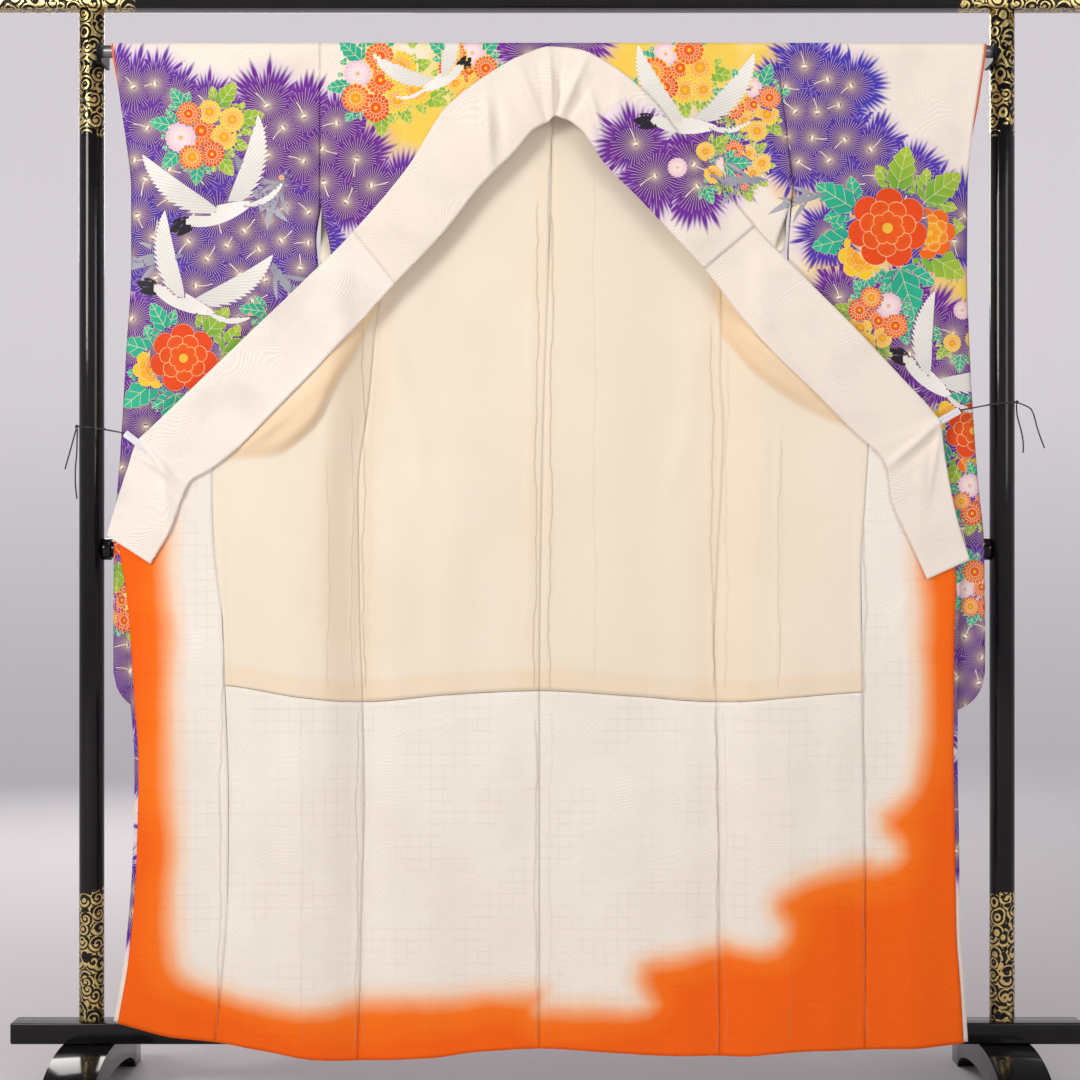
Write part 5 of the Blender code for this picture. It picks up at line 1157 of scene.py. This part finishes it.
# Ties: limp twisted cords from the posts' knots to the clips, with two loose ends each
cordSettings = {"radius": 0.0011, "pointStep": 0.0064, "knotRing": 0.0021, "knotTube": 0.00105}
knotSpots = {"left": (-0.7357, -0.001, 1.039), "right": (0.7357, -0.001, 1.077)}
cordRoutes = {
    "string_left_front": [
        (-0.7345, -0.0048, 1.039), (-0.7275, -0.0152, 1.0384), (-0.716, -0.0213, 1.0372),
        (-0.704, -0.0245, 1.0355), (-0.688, -0.038, 1.033), (-0.67, -0.0555, 1.0295),
        (-0.656, -0.069, 1.027), (-0.6482, -0.0745, 1.0257)],
    "string_left_back": [
        (-0.7345, 0.0028, 1.0392), (-0.7331, 0.0059, 1.0396), (-0.7276, 0.0151, 1.0394),
        (-0.7162, 0.0211, 1.0386), (-0.7035, 0.0194, 1.0376), (-0.695, 0.0123, 1.0366),
        (-0.6913, 0.0025, 1.0354), (-0.688, -0.01, 1.034), (-0.678, -0.027, 1.0318),
        (-0.665, -0.046, 1.029), (-0.654, -0.062, 1.0268), (-0.6482, -0.0697, 1.0257)],
    "string_left_tail": [
        (-0.7365, -0.0022, 1.0354), (-0.7388, -0.006, 1.024), (-0.7432, -0.008, 1.006),
        (-0.7482, -0.0085, 0.988), (-0.7526, -0.009, 0.972)],
    "string_left_tail_long": [
        (-0.7353, 0.0005, 1.0355), (-0.7362, 0.003, 1.02), (-0.7366, 0.003, 0.998),
        (-0.7384, 0.002, 0.974), (-0.7384, 0.001, 0.95), (-0.7358, 0.0, 0.926)],
    "string_right_front": [
        (0.7345, -0.0048, 1.077), (0.7275, -0.0152, 1.0764), (0.716, -0.0213, 1.0752),
        (0.704, -0.0245, 1.0738), (0.686, -0.037, 1.071), (0.666, -0.054, 1.067),
        (0.645, -0.069, 1.0625), (0.6333, -0.0746, 1.0607)],
    "string_right_back": [
        (0.7345, 0.0028, 1.0772), (0.7331, 0.0059, 1.0776), (0.7276, 0.0151, 1.0774),
        (0.7162, 0.0211, 1.0766), (0.7035, 0.0194, 1.0756), (0.695, 0.0123, 1.0746),
        (0.6913, 0.0025, 1.0734), (0.688, -0.01, 1.072), (0.678, -0.028, 1.07),
        (0.662, -0.048, 1.0664), (0.644, -0.064, 1.0628), (0.6333, -0.0698, 1.0607)],
    "string_right_tail": [
        (0.7388, -0.0027, 1.0755), (0.747, -0.006, 1.072), (0.756, -0.0085, 1.066),
        (0.761, -0.0095, 1.054), (0.765, -0.01, 1.038), (0.771, -0.01, 1.02),
        (0.7768, -0.01, 1.005)],
    "string_right_tail_long": [
        (0.7353, 0.0005, 1.0735), (0.7364, 0.003, 1.06), (0.74, 0.003, 1.044),
        (0.744, 0.002, 1.028), (0.746, 0.001, 1.012), (0.7456, 0.0, 0.998)],
}


def smoothRoute(points, step):
    knots = [Vector(point) for point in points]
    ends = [2 * knots[0] - knots[1]] + knots + [2 * knots[-1] - knots[-2]]
    route = []
    for i in range(len(knots) - 1):
        a, b, c, d = ends[i:i + 4]
        pieces = max(1, round((c - b).length / step))
        for j in range(pieces):
            t = j / pieces
            bend = (2 * a - 5 * b + 4 * c - d) * t**2 + (3 * b - a - 3 * c + d) * t**3
            route.append(0.5 * (2 * b + (c - a) * t + bend))
    return route + [knots[-1]]


def meshObject(name, work, material, smoothAngle=0.6):
    # a finished bmesh becomes a piece at the origin, smooth except over sharp edges
    mesh = bpy.data.meshes.new(name)
    work.to_mesh(mesh)
    work.free()
    mesh.shade_smooth()
    if smoothAngle:
        mesh.set_sharp_from_angle(angle=smoothAngle)
    mesh.materials.append(material)
    piece = bpy.data.objects.new(name, mesh)
    bpy.context.scene.collection.objects.link(piece)
    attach(piece, "root")
    return piece


def makeKnot(side):
    # an overhand knot: three small rings of cord, each turned its own way
    work = bmesh.new()
    for turn, tilt in ((0.3, 0.5), (1.4, -0.9), (2.5, 1.3)):
        made = bmesh.ops.create_circle(work, radius=cordSettings["knotTube"], segments=10)["verts"]
        edges = list(dict.fromkeys(edge for vert in made for edge in vert.link_edges))
        ring = Matrix.Translation((cordSettings["knotRing"], 0.0, 0.0)) @ Matrix.Rotation(math.pi / 2, 4, "X")
        bmesh.ops.transform(work, matrix=ring, verts=made)
        spun = bmesh.ops.spin(work, geom=edges + made, axis=(0, 0, 1), cent=(0, 0, 0),
                              angle=2 * math.pi, steps=20, use_merge=True)
        verts = [vert for vert in work.verts if not vert.tag]
        place = (Matrix.Translation(knotSpots[side]) @ Matrix.Rotation(turn, 4, "Z")
                 @ Matrix.Rotation(tilt, 4, "X"))
        bmesh.ops.transform(work, matrix=place, verts=verts)
        for vert in verts:
            vert.tag = True
    bmesh.ops.remove_doubles(work, verts=work.verts, dist=0.00001)
    bmesh.ops.recalc_face_normals(work, faces=work.faces)
    knot = meshObject("knottedCord" + capital(side), work, cordYarn, 0)
    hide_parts("knot_" + side)
    return knot


knots = {side: makeKnot(side) for side in sides}
names = {"front": "tieFront", "back": "tieBack", "tail": "looseEnd", "tail_long": "longLooseEnd"}
for node, points in cordRoutes.items():
    side, part = node.split("_")[1], node.split("_", 2)[2]
    route = smoothRoute(points, cordSettings["pointStep"])
    curve = bpy.data.curves.new(names[part] + capital(side), "CURVE")
    curve.dimensions = "3D"
    curve.bevel_depth = cordSettings["radius"]
    curve.bevel_resolution = 3
    curve.use_fill_caps = True
    spline = curve.splines.new("POLY")
    spline.points.add(len(route) - 1)
    for point, place in zip(spline.points, route):
        point.co = (*place, 1.0)
    spline.use_smooth = True
    curve.materials.append(cordYarn)
    cord = bpy.data.objects.new(curve.name, curve)
    bpy.context.scene.collection.objects.link(cord)
    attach(cord, "root")
    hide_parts(node)
    length = sum((b - a).length for a, b in zip(route, route[1:]))
print("ties laid")


# Cloth pieces: a grid of cells takes its surface's shape, the flat cut is its UV map, and a wall is added
clothSettings = {
    "silkWall": 0.0009, "liningWall": 0.0008, "collarWall": 0.0022, "overWall": 0.0016, "cuffWall": 0.0014,
    "cuffShows": 0.0035, "printCell": 0.0044, "plainCell": 0.0065, "collarCell": 0.0045, "hemRoll": 0.003,
}


def spread(start, end, length, cell):
    # even rows from start to end, as many as the stretch's real length and the cell's size call for
    return np.linspace(start, end, max(2, round(length / cell)) + 1)


def runs(*parts):
    # the rows of several stretches, one after the other
    rows = [part if i == 0 else part[1:] for i, part in enumerate(parts)]
    return np.concatenate(rows)


def clothPiece(name, nodes, surface, columns, rows, wall, material,
               turnAt=99.0, firstSign=1.0, paint=None, weld=False):
    work = bmesh.new()
    bmesh.ops.create_grid(work, x_segments=len(columns) - 1, y_segments=len(rows) - 1, size=1.0)
    mesh = bpy.data.meshes.new(name)
    work.to_mesh(mesh)
    work.free()
    flatCo = np.empty(len(mesh.vertices) * 3, np.float32)
    mesh.vertices.foreach_get("co", flatCo)
    column = np.rint((flatCo[0::3] + 1) / 2 * (len(columns) - 1)).astype(int)
    row = np.rint((flatCo[1::3] + 1) / 2 * (len(rows) - 1)).astype(int)
    across, up = np.meshgrid(columns, rows)
    points = surface(across, up)[row, column]
    mesh.vertices.foreach_set("co", points.astype(np.float32).ravel())
    corners = np.empty(len(mesh.loops), np.int32)
    mesh.loops.foreach_get("vertex_index", corners)
    starts = np.empty(len(mesh.polygons), np.int32)
    mesh.polygons.foreach_get("loop_start", starts)
    counts = np.diff(np.append(starts, len(corners)))
    middleUp = np.add.reduceat(np.asarray(rows)[row][corners], starts) / counts
    sign = np.repeat(np.where(middleUp < turnAt, firstSign, -firstSign), counts)
    cut = np.stack([points[corners, 0], sign * (hung["shoulderTop"] - points[corners, 2])], axis=1)
    mesh.uv_layers.new(name="cut").data.foreach_set("uv", cut.astype(np.float32).ravel())
    if paint:
        paint(mesh, cut, starts, counts, points[corners])
    work = bmesh.new()
    work.from_mesh(mesh)
    if weld:
        bmesh.ops.remove_doubles(work, verts=work.verts, dist=0.0003)
    bmesh.ops.recalc_face_normals(work, faces=work.faces)
    bpy.data.meshes.remove(mesh)
    piece = meshObject(name, work, material, 0)
    shell = piece.modifiers.new("wall", "SOLIDIFY")
    shell.thickness = wall
    shell.offset = 0.0
    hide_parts(*nodes)
    return piece


def paintSeams(mesh, share, cut, starts, counts, seams):
    # dye's third number says how far a corner lies to the side of its face's nearest sewn line, and press how
    # strong that line is
    x, drop = cut[:, 0], np.abs(cut[:, 1])
    nearest, press = np.full(len(starts), 9.0), np.zeros(len(x))
    share[:, 2] = 9.0
    for topX, top, footX, foot, strong in seams:
        sway = 0.0016 * np.sin(19 * drop + 60 * topX) + 0.001 * np.sin(47 * drop + 23 * topX)
        shiver = 0.0006 * np.sin(113 * drop + 71 * topX) + 0.0004 * np.sin(211 * drop)
        off = x - topX - (footX - topX) * (drop - top) / (foot - top) - sway - shiver
        here = strong * ease(drop, top, top + 0.03) * (1 - ease(drop, foot - 0.01, foot))
        away = np.abs(np.add.reduceat(off, starts) / counts) + 9.0 * (np.maximum.reduceat(here, starts) <= 0)
        closer = away < nearest
        nearest = np.where(closer, away, nearest)
        atCorner = np.repeat(closer, counts)
        share[:, 2] = np.where(atCorner, off, share[:, 2])
        press = np.where(atCorner, here, press)
    mesh.attributes.new("press", "FLOAT", "CORNER").data.foreach_set("value", press.astype(np.float32))


def paintHem(mesh, cut, starts, counts, places):
    # the hem lining: dye's first number says how far into the orange a corner lies
    share = np.zeros((len(cut), 3))
    share[:, 0] = orangeShare(places[:, 0], places[:, 2])
    paintSeams(mesh, share, cut, starts, counts, lowerSeams)
    mesh.attributes.new("dye", "FLOAT_VECTOR", "CORNER").data.foreach_set("vector", share.ravel())


def paintUpper(mesh, cut, starts, counts, places):
    # the upper lining has no orange; dye's second number says where two layers lie together, as at the seams,
    # and where painted shade darkens the loose roll
    x, z = places[:, 0], places[:, 2]
    share = np.zeros((len(cut), 3))
    share[:, 0] = -1.0
    centre = seam["left"]["centre"](z)
    stripsAndShade = 0.15 * np.exp(-(((x - centre + 0.01) / 0.03) ** 2))
    for side in sides:
        edge = np.abs(seam[side]["side"](np.minimum(z, sideTop[side])))
        here = (x < 0) if side == "left" else (x >= 0)
        stripsAndShade += np.where(here, 0.17 * ease(np.abs(x), edge - 0.036, edge - 0.02)
                           * (1 - ease(np.abs(x), edge + 0.05, edge + 0.068)), 0.0)
        above = z - tuckLine[side](x)
        # painted shade: the loose roll above the tuck line is tinted toward the darker peach
        rollShade = ease(above, -0.004, 0.01) * (1 - ease(above, 0.05, 0.11))
        stripsAndShade += np.where(here, 0.9 * rollShade * (np.abs(x) > 0.25) * (np.abs(x) < 0.5), 0.0)
    stripsAndShade += 0.35 * (1 - ease(z - liningSeam(x), 0.03, 0.034))
    share[:, 1] = np.clip(stripsAndShade, 0.0, 1.0)
    paintSeams(mesh, share, cut, starts, counts, upperSeams)
    mesh.attributes.new("dye", "FLOAT_VECTOR", "CORNER").data.foreach_set("vector", share.ravel())


def paintSilk(mesh, cut, starts, counts, places):
    paintPrint(mesh, cut, starts, counts)


def paintRightCollar(mesh, cut, starts, counts, places):
    # the print crosses onto the right collar only
    paintPrint(mesh, cut, starts, counts, (0.07, 0.12), (0.33, 0.31))


fine, plain, stiff = (clothSettings[name] for name in ("printCell", "plainCell", "collarCell"))
silk, lining, roll = (clothSettings[name] for name in ("silkWall", "liningWall", "hemRoll"))
for side in sides:
    big = capital(side)
    shapes = {"back": backSurface(side), "front": frontSurface(side, "okumi", "side"),
              "okumi": frontSurface(side, "frontEdge", "okumi")}
    linings = {name: lifted(shape, hung["liningLift"]) for name, shape in shapes.items()}
    chestRows = runs(spread(2, 3, 0.36, fine), spread(3, 4, 0.045, fine), spread(4, 5, 0.25, fine))
    backRows = runs(spread(0, 1, 0.55, fine * 1.3), spread(1, 2, 0.64, fine * 1.3), chestRows)
    body = clothPiece(
        "backAndShoulder" + big, ["body_" + side], shapes["back"],
        spread(0, 1, 0.31, fine * 1.15), backRows, silk, printedSilk,
        turnAt=3.5, firstSign=-1.0, paint=paintSilk)
    hungRows = runs(spread(0, 1, 0.55, plain), spread(1, 2, 0.5, plain))
    front = clothPiece(
        "frontPanel" + big, ["front_" + side], shapes["front"], spread(0, 1, 0.22, plain),
        hungRows, silk, printedSilk, paint=paintSilk)
    overlap = clothPiece(
        "overlapPanel" + big, ["okumi_" + side], shapes["okumi"], spread(0, 1, 0.15, plain),
        hungRows, silk, printedSilk, paint=paintSilk)
    around = runs(spread(0, 1, 0.87, fine), spread(1, 2, 0.16, fine), spread(2, 3, 0.045, fine),
                  spread(3, 4, 0.16, fine), spread(4, 5, 0.87, fine))
    clothPiece(
        "sleeveBag" + big, ["sleeve_" + side], sleeveSurface(side)[0], spread(0, 1, 0.31, fine),
        around, silk, printedSilk, turnAt=2.5, paint=paintSilk, weld=True)
    cuffRows = runs(spread(0, 1, 0.12, 0.006), spread(1, 2, 0.045, 0.004), spread(2, 3, 0.12, 0.006))
    clothPiece(
        "cuffFacing" + big, ["cuff_" + side], cuffSurface(side, clothSettings["cuffShows"]),
        spread(0, 1, 0.031, 0.004), cuffRows, clothSettings["cuffWall"], orangeSilk)
    # the lower and upper linings meet at their seam, 0.7 mm apart
    lowRows, highRows = spread(-roll, 0.9994, 0.55, plain), spread(1.0006, 2, 0.55, plain)
    backHigh = runs(highRows, spread(2, 3, 0.36, plain), spread(3, 3.7, 0.031, 0.004))
    clothPiece(
        "backLiningLow" + big, ["lining_back_lower_" + side], linings["back"],
        spread(0, 1, 0.29, plain), lowRows, lining, lowerLining, paint=paintHem)
    clothPiece(
        "backLiningHigh" + big, ["lining_back_upper_" + side], linings["back"],
        spread(0, 1, 0.31, plain), backHigh, lining, upperLining,
        paint=paintUpper)
    clothPiece(
        "frontLiningLow" + big, ["lining_front_lower_" + side], linings["front"],
        spread(0, 1, 0.22, plain), lowRows, lining, lowerLining,
        paint=paintHem)
    clothPiece(
        "frontLiningHigh" + big, ["lining_front_upper_" + side], linings["front"],
        spread(0, 1, 0.22, plain * 0.7), spread(1.0006, 2, 0.5, plain * 0.7), lining, upperLining,
        paint=paintUpper)
    overlapRows = runs(spread(-roll, 1, 0.55, plain), spread(1, 2, 0.33, plain))
    clothPiece(
        "overlapLining" + big, ["lining_okumi_" + side], linings["okumi"],
        spread(0.045, 1, 0.145, plain), overlapRows, lining, lowerLining,
        paint=paintHem)
    ends = (0, collarMiddle - 0.005) if side == "left" else (collarMiddle + 0.005, len(collarRows) - 1)
    cloth, paint = (printedSilk, paintRightCollar) if side == "right" else (whiteDamask, None)
    clothPiece(
        "collar" + big, ["collar_" + side], collarSurface(), spread(0, 1, 0.11, 0.004),
        spread(*ends, 1.12, stiff), clothSettings["collarWall"], cloth,
        paint=paint)
clothPiece(
    "overCollar", ["over_collar"], collarSurface(hung["overLift"]),
    spread(0, 1, 0.11, 0.004), spread(*overCollarEnds, 0.8, stiff), clothSettings["overWall"], printedSilk,
    paint=paintRightCollar)
print("cloth hung")


# The stand: black lacquered wood, a steel rod and its brackets
standSettings = {
    "postX": 0.7125, "postRadius": 0.0195, "postLow": 0.1103, "postHigh": 1.6897, "postBevel": 0.0008,
    "footRailHalf": 0.835, "footRailDepth": 0.05, "footRailLow": 0.077, "footRailHigh": 0.11,
    "footRailBevel": 0.003,
    "topRailHalf": 0.89, "topRailDepth": 0.042, "topRailLow": 1.69, "topRailHigh": 1.736,
    "topRailBevel": 0.006,
    "midRailZ": 0.847, "midRailRadius": 0.013, "midRailEnd": 0.6927, "midRailInset": 0.002,
    "midRailBevel": 0.0005, "ferruleRadius": 0.017, "ferruleLength": 0.012, "ferruleBevel": 0.0015,
    "rodRadius": 0.0098, "rodZ": 1.61525, "rodEnd": 0.6927, "rodBevel": 0.0008,
    "footWidth": 0.08, "footHalf": 0.21, "footTopHalf": 0.04, "footTop": 0.0767, "footTip": 0.016,
    "archHalf": 0.16, "archRise": 0.036, "footBevel": 0.003,
}


def roundEdges(work, width, segments=4, sharpest=0.5):
    edges = [edge for edge in work.edges if len(edge.link_faces) == 2 and edge.calc_face_angle() > sharpest]
    bmesh.ops.bevel(work, geom=edges, offset=width, offset_type="OFFSET", segments=segments, profile=0.5,
                    affect="EDGES", clamp_overlap=True, material=-1)


def addRound(work, radius, start, end, bevel, segments=64, alongX=False):
    # a turned bar from start to end, its rims softened
    bar = bmesh.new()
    bmesh.ops.create_cone(bar, cap_ends=True, segments=segments, radius1=radius, radius2=radius,
                          depth=end - start)
    roundEdges(bar, bevel, 3)
    bmesh.ops.translate(bar, vec=(0.0, 0.0, (start + end) / 2), verts=bar.verts)
    if alongX:
        bmesh.ops.rotate(bar, cent=(0, 0, 0), matrix=Matrix.Rotation(math.pi / 2, 3, "Y"), verts=bar.verts)
    mesh = bpy.data.meshes.new("bar")
    bar.to_mesh(mesh)
    bar.free()
    work.from_mesh(mesh)
    bpy.data.meshes.remove(mesh)


def addBlock(work, size, centre, bevel, segments=4):
    block = bmesh.new()
    bmesh.ops.create_cube(block, size=1.0)
    bmesh.ops.scale(block, vec=size, verts=block.verts)
    roundEdges(block, bevel, segments)
    bmesh.ops.translate(block, vec=centre, verts=block.verts)
    mesh = bpy.data.meshes.new("block")
    block.to_mesh(mesh)
    block.free()
    work.from_mesh(mesh)
    bpy.data.meshes.remove(mesh)


def standPiece(name, work, nodes, material):
    piece = meshObject(name, work, material, 0.5)
    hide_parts(*nodes)
    return piece


stand = standSettings
for side in sides:
    work = bmesh.new()
    addRound(work, stand["postRadius"], stand["postLow"], stand["postHigh"], stand["postBevel"], 96)
    bmesh.ops.translate(work, vec=(signOf[side] * stand["postX"], 0.0, 0.0), verts=work.verts)
    standPiece("turnedPost" + capital(side), work, ["post_" + side], postLacquer)

    # a foot: a strip of cells bent into a low bridge, given its width, with softened edges
    work = bmesh.new()
    bmesh.ops.create_grid(work, x_segments=64, y_segments=1, size=1.0)
    for vert in work.verts:
        along = math.pi / 2 * vert.co.x
        reach = stand["footHalf"] * math.sin(along)
        slope = max(abs(reach) - stand["footTopHalf"], 0.0) / (stand["footHalf"] - stand["footTopHalf"])
        top = stand["footTip"] + (stand["footTop"] - stand["footTip"]) * math.sqrt(max(1 - slope**2, 0.0))
        arch = stand["archRise"] * math.sqrt(max(1 - (reach / stand["archHalf"]) ** 2, 0.0))
        innerX = signOf[side] * stand["postX"] - stand["footWidth"] / 2
        vert.co = (innerX, reach, top if vert.co.y > 0 else arch)
    pulled = bmesh.ops.extrude_face_region(work, geom=list(work.faces))["geom"]
    moved = [item for item in pulled if isinstance(item, bmesh.types.BMVert)]
    bmesh.ops.translate(work, vec=(stand["footWidth"], 0.0, 0.0), verts=moved)
    bmesh.ops.recalc_face_normals(work, faces=work.faces)
    roundEdges(work, stand["footBevel"], 3, 1.0)
    standPiece("archedFoot" + capital(side), work, ["foot_" + side], plainLacquer)

work = bmesh.new()
addBlock(work, (2 * stand["topRailHalf"], stand["topRailDepth"], stand["topRailHigh"] - stand["topRailLow"]),
         (0.0, 0.0, (stand["topRailHigh"] + stand["topRailLow"]) / 2), stand["topRailBevel"], 6)
standPiece("topBeam", work, ["top_rail"], railLacquer)
work = bmesh.new()
footRailTall = stand["footRailHigh"] - stand["footRailLow"]
addBlock(work, (2 * stand["footRailHalf"], stand["footRailDepth"], footRailTall),
         (0.0, 0.0, (stand["footRailHigh"] + stand["footRailLow"]) / 2), stand["footRailBevel"], 4)
standPiece("footBeam", work, ["foot_rail"], plainLacquer)
work = bmesh.new()
barEnd = stand["midRailEnd"] - stand["midRailInset"]
addRound(work, stand["midRailRadius"], -barEnd, barEnd, stand["midRailBevel"], 48, True)
for sign in (-1, 1):
    ends = sorted((sign * stand["midRailEnd"], sign * (stand["midRailEnd"] - stand["ferruleLength"])))
    addRound(work, stand["ferruleRadius"], *ends, stand["ferruleBevel"], 48, True)
bmesh.ops.translate(work, vec=(0.0, 0.0, stand["midRailZ"]), verts=work.verts)
standPiece("midBar", work, ["mid_rail"], plainLacquer)
work = bmesh.new()
addRound(work, stand["rodRadius"], -stand["rodEnd"], stand["rodEnd"], stand["rodBevel"], 40, True)
bmesh.ops.translate(work, vec=(0.0, -hung["rodDepth"], stand["rodZ"]), verts=work.verts)
standPiece("hangingRod", work, ["rod"], rodSteel)
for side in sides:
    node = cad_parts["bracket_" + side]
    node.data.materials.clear()
    node.data.materials.append(bracketSteel)
print("stand made")


# Clips: a moulded plate and jaw joined by a bridge, biting the collar's corner
clipSettings = {
    # outer end x, z and inner end x, z
    "left": (-0.647, 1.025, -0.6, 0.99), "right": (0.632, 1.06, 0.585, 1.034),
    "width": 0.011, "plate": 0.003, "jaw": 0.024, "bridge": 0.009, "slot": 0.0013,
}
for side in sides:
    outerX, outerZ, innerX, innerZ = clipSettings[side]
    plate, slotHalf = clipSettings["plate"], clipSettings["slot"]
    length = math.hypot(innerX - outerX, innerZ - outerZ)
    work = bmesh.new()
    addBlock(work, (length, plate, clipSettings["width"]), (length / 2, slotHalf + plate / 2, 0.0), 0.0009, 3)
    addBlock(work, (clipSettings["jaw"], plate * 0.8, clipSettings["width"]),
             (clipSettings["jaw"] / 2, -slotHalf - plate * 0.4, 0.0), 0.0008, 3)
    addBlock(work, (clipSettings["bridge"], 2 * slotHalf + 0.001, clipSettings["width"] - 0.001),
             (clipSettings["bridge"] / 2, 0.0, 0.0), 0.0004, 2)
    # a long rib beside the middle, and grip ribs at the outer end
    addBlock(work, (length * 0.94, 0.0012, 0.0036), (length / 2, slotHalf + plate, 0.0024), 0.0005, 2)
    for i in range(5):
        addBlock(work, (0.0012, 0.001, 0.005), (0.003 + 0.0026 * i, slotHalf + plate, -0.0024), 0.0004, 2)
    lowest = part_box("clip_" + side)[0]
    forward = Vector((0.0, -1.0, 0.0))
    along = Vector((innerX - outerX, 0.0, innerZ - outerZ)).normalized()
    axes = Matrix((along, forward, along.cross(forward))).transposed().to_4x4()
    axes.translation = (outerX, lowest[1] + slotHalf + plate, outerZ)
    bmesh.ops.transform(work, matrix=axes, verts=work.verts)
    standPiece("mouldedClip" + capital(side), work, ["clip_" + side], clipPlastic)
print("clips set")


# The stage: a round pale floor that curves up into a wall far off on every side, and is lit softly there
stageSettings = {
    "radius": 9.0, "bend": 2.2, "height": 4.4, "bendSteps": 20, "turnSteps": 72, "drop": 0.0005, "near": 0.7,
    "far": 4.2, "floorGlow": 0.27, "wallGlow": 0.5, "wallStart": 1.6,
}
profile = [(0.0, 0.0), (1.5, 0.0), (4.0, 0.0)]
for i in range(stageSettings["bendSteps"] + 1):
    angle = math.pi / 2 * i / stageSettings["bendSteps"]
    profile.append((stageSettings["radius"] - stageSettings["bend"] * (1 - math.sin(angle)),
                    stageSettings["bend"] * (1 - math.cos(angle))))
profile.append((stageSettings["radius"], stageSettings["height"]))
work = bmesh.new()
line = [work.verts.new((x, 0.0, z - stageSettings["drop"])) for x, z in profile]
spun = [work.edges.new(pair) for pair in zip(line, line[1:])]
bmesh.ops.spin(work, geom=line + spun, cent=(0, 0, 0), axis=(0, 0, 1), angle=2 * math.pi,
               steps=stageSettings["turnSteps"], use_merge=True)
bmesh.ops.remove_doubles(work, verts=work.verts, dist=0.0001)
bmesh.ops.recalc_face_normals(work, faces=work.faces)
# seamless paper: matt, with a faint mottle of 4 mm
stageMaterial, stageTree, stageShader = newMaterial("paperBackdrop", Roughness=0.9)
stageMaterial.cycles.emission_sampling = "NONE"
floorPlace = addNode(stageTree, "ShaderNodeTexCoord").outputs["Object"]
away = addNode(stageTree, "ShaderNodeVectorMath", {"operation": "LENGTH"}, {0: floorPlace})
floorParts = addNode(stageTree, "ShaderNodeSeparateXYZ", None, {0: floorPlace})
paper = addNode(stageTree, "ShaderNodeTexNoise", None, {"Vector": floorPlace, "Scale": 260.0, "Detail": 2.0})
glowRise = stageSettings["wallGlow"] - stageSettings["floorGlow"]
stageKnown = {"away": away.outputs["Value"], "z": floorParts.outputs[2], "paper": paper.outputs[0]}
addSteps(stageTree, stageKnown, [
    *softStep("distant", "away", stageSettings["near"], stageSettings["far"]),
    *softStep("raised", "z", 0.0, stageSettings["wallStart"]),
    ("lift", "MULTIPLY_ADD", "raised", glowRise, stageSettings["floorGlow"]),
    ("glow", "MULTIPLY", "distant", "lift"), ("tone", "BLEND", "paper", "#D7D3D8", "#E0DCE0"),
])
stageTree.links.new(stageKnown["tone"], stageShader.inputs["Base Color"])
stageTree.links.new(stageKnown["tone"], stageShader.inputs["Emission Color"])
stageTree.links.new(stageKnown["glow"], stageShader.inputs["Emission Strength"])
stageMesh = bpy.data.meshes.new("paperFloor")
work.to_mesh(stageMesh)
work.free()
stageMesh.shade_smooth()
stageMesh.materials.append(stageMaterial)
paperFloor = bpy.data.objects.new("paperFloor", stageMesh)
bpy.context.scene.collection.objects.link(paperFloor)


# Light: large soft panels from both front sides, above and behind, and a soft fill from everywhere
lightSettings = [
    # name, place, aim, size, watts
    ("panelLeft", (-2.6, -2.9, 2.3), (0.0, 0.0, 0.9), 1.2, 74.0),
    ("panelRight", (2.8, -3.2, 1.9), (0.0, 0.0, 0.9), 1.6, 30.0),
    ("panelTop", (0.0, -1.2, 3.8), (0.0, -0.1, 0.9), 1.8, 24.0),
    ("panelBack", (-1.2, 3.4, 2.6), (0.0, 0.0, 0.9), 1.8, 62.0),
]
for name, place, aim, size, watts in lightSettings:
    lampData = bpy.data.lights.new(name, "AREA")
    lampData.energy = watts
    lampData.size = size
    lampData.color = linear("#FFFAF4")
    lamp = bpy.data.objects.new(name, lampData)
    lamp.visible_camera = False
    toward = Vector(aim) - Vector(place)
    lamp.matrix_world = Matrix.Translation(place) @ toward.to_track_quat("-Z", "Y").to_matrix().to_4x4()
    bpy.context.scene.collection.objects.link(lamp)
world = bpy.context.scene.world or bpy.data.worlds.new("softRoom")
bpy.context.scene.world = world
world.use_nodes = True
background = world.node_tree.nodes["Background"]
background.inputs["Color"].default_value = rgba("#E9E8EE")
background.inputs["Strength"].default_value = 0.17
bpy.context.scene.view_settings.view_transform = "Standard"  # a catalogue photograph's plain colours
print("stage and lights set")
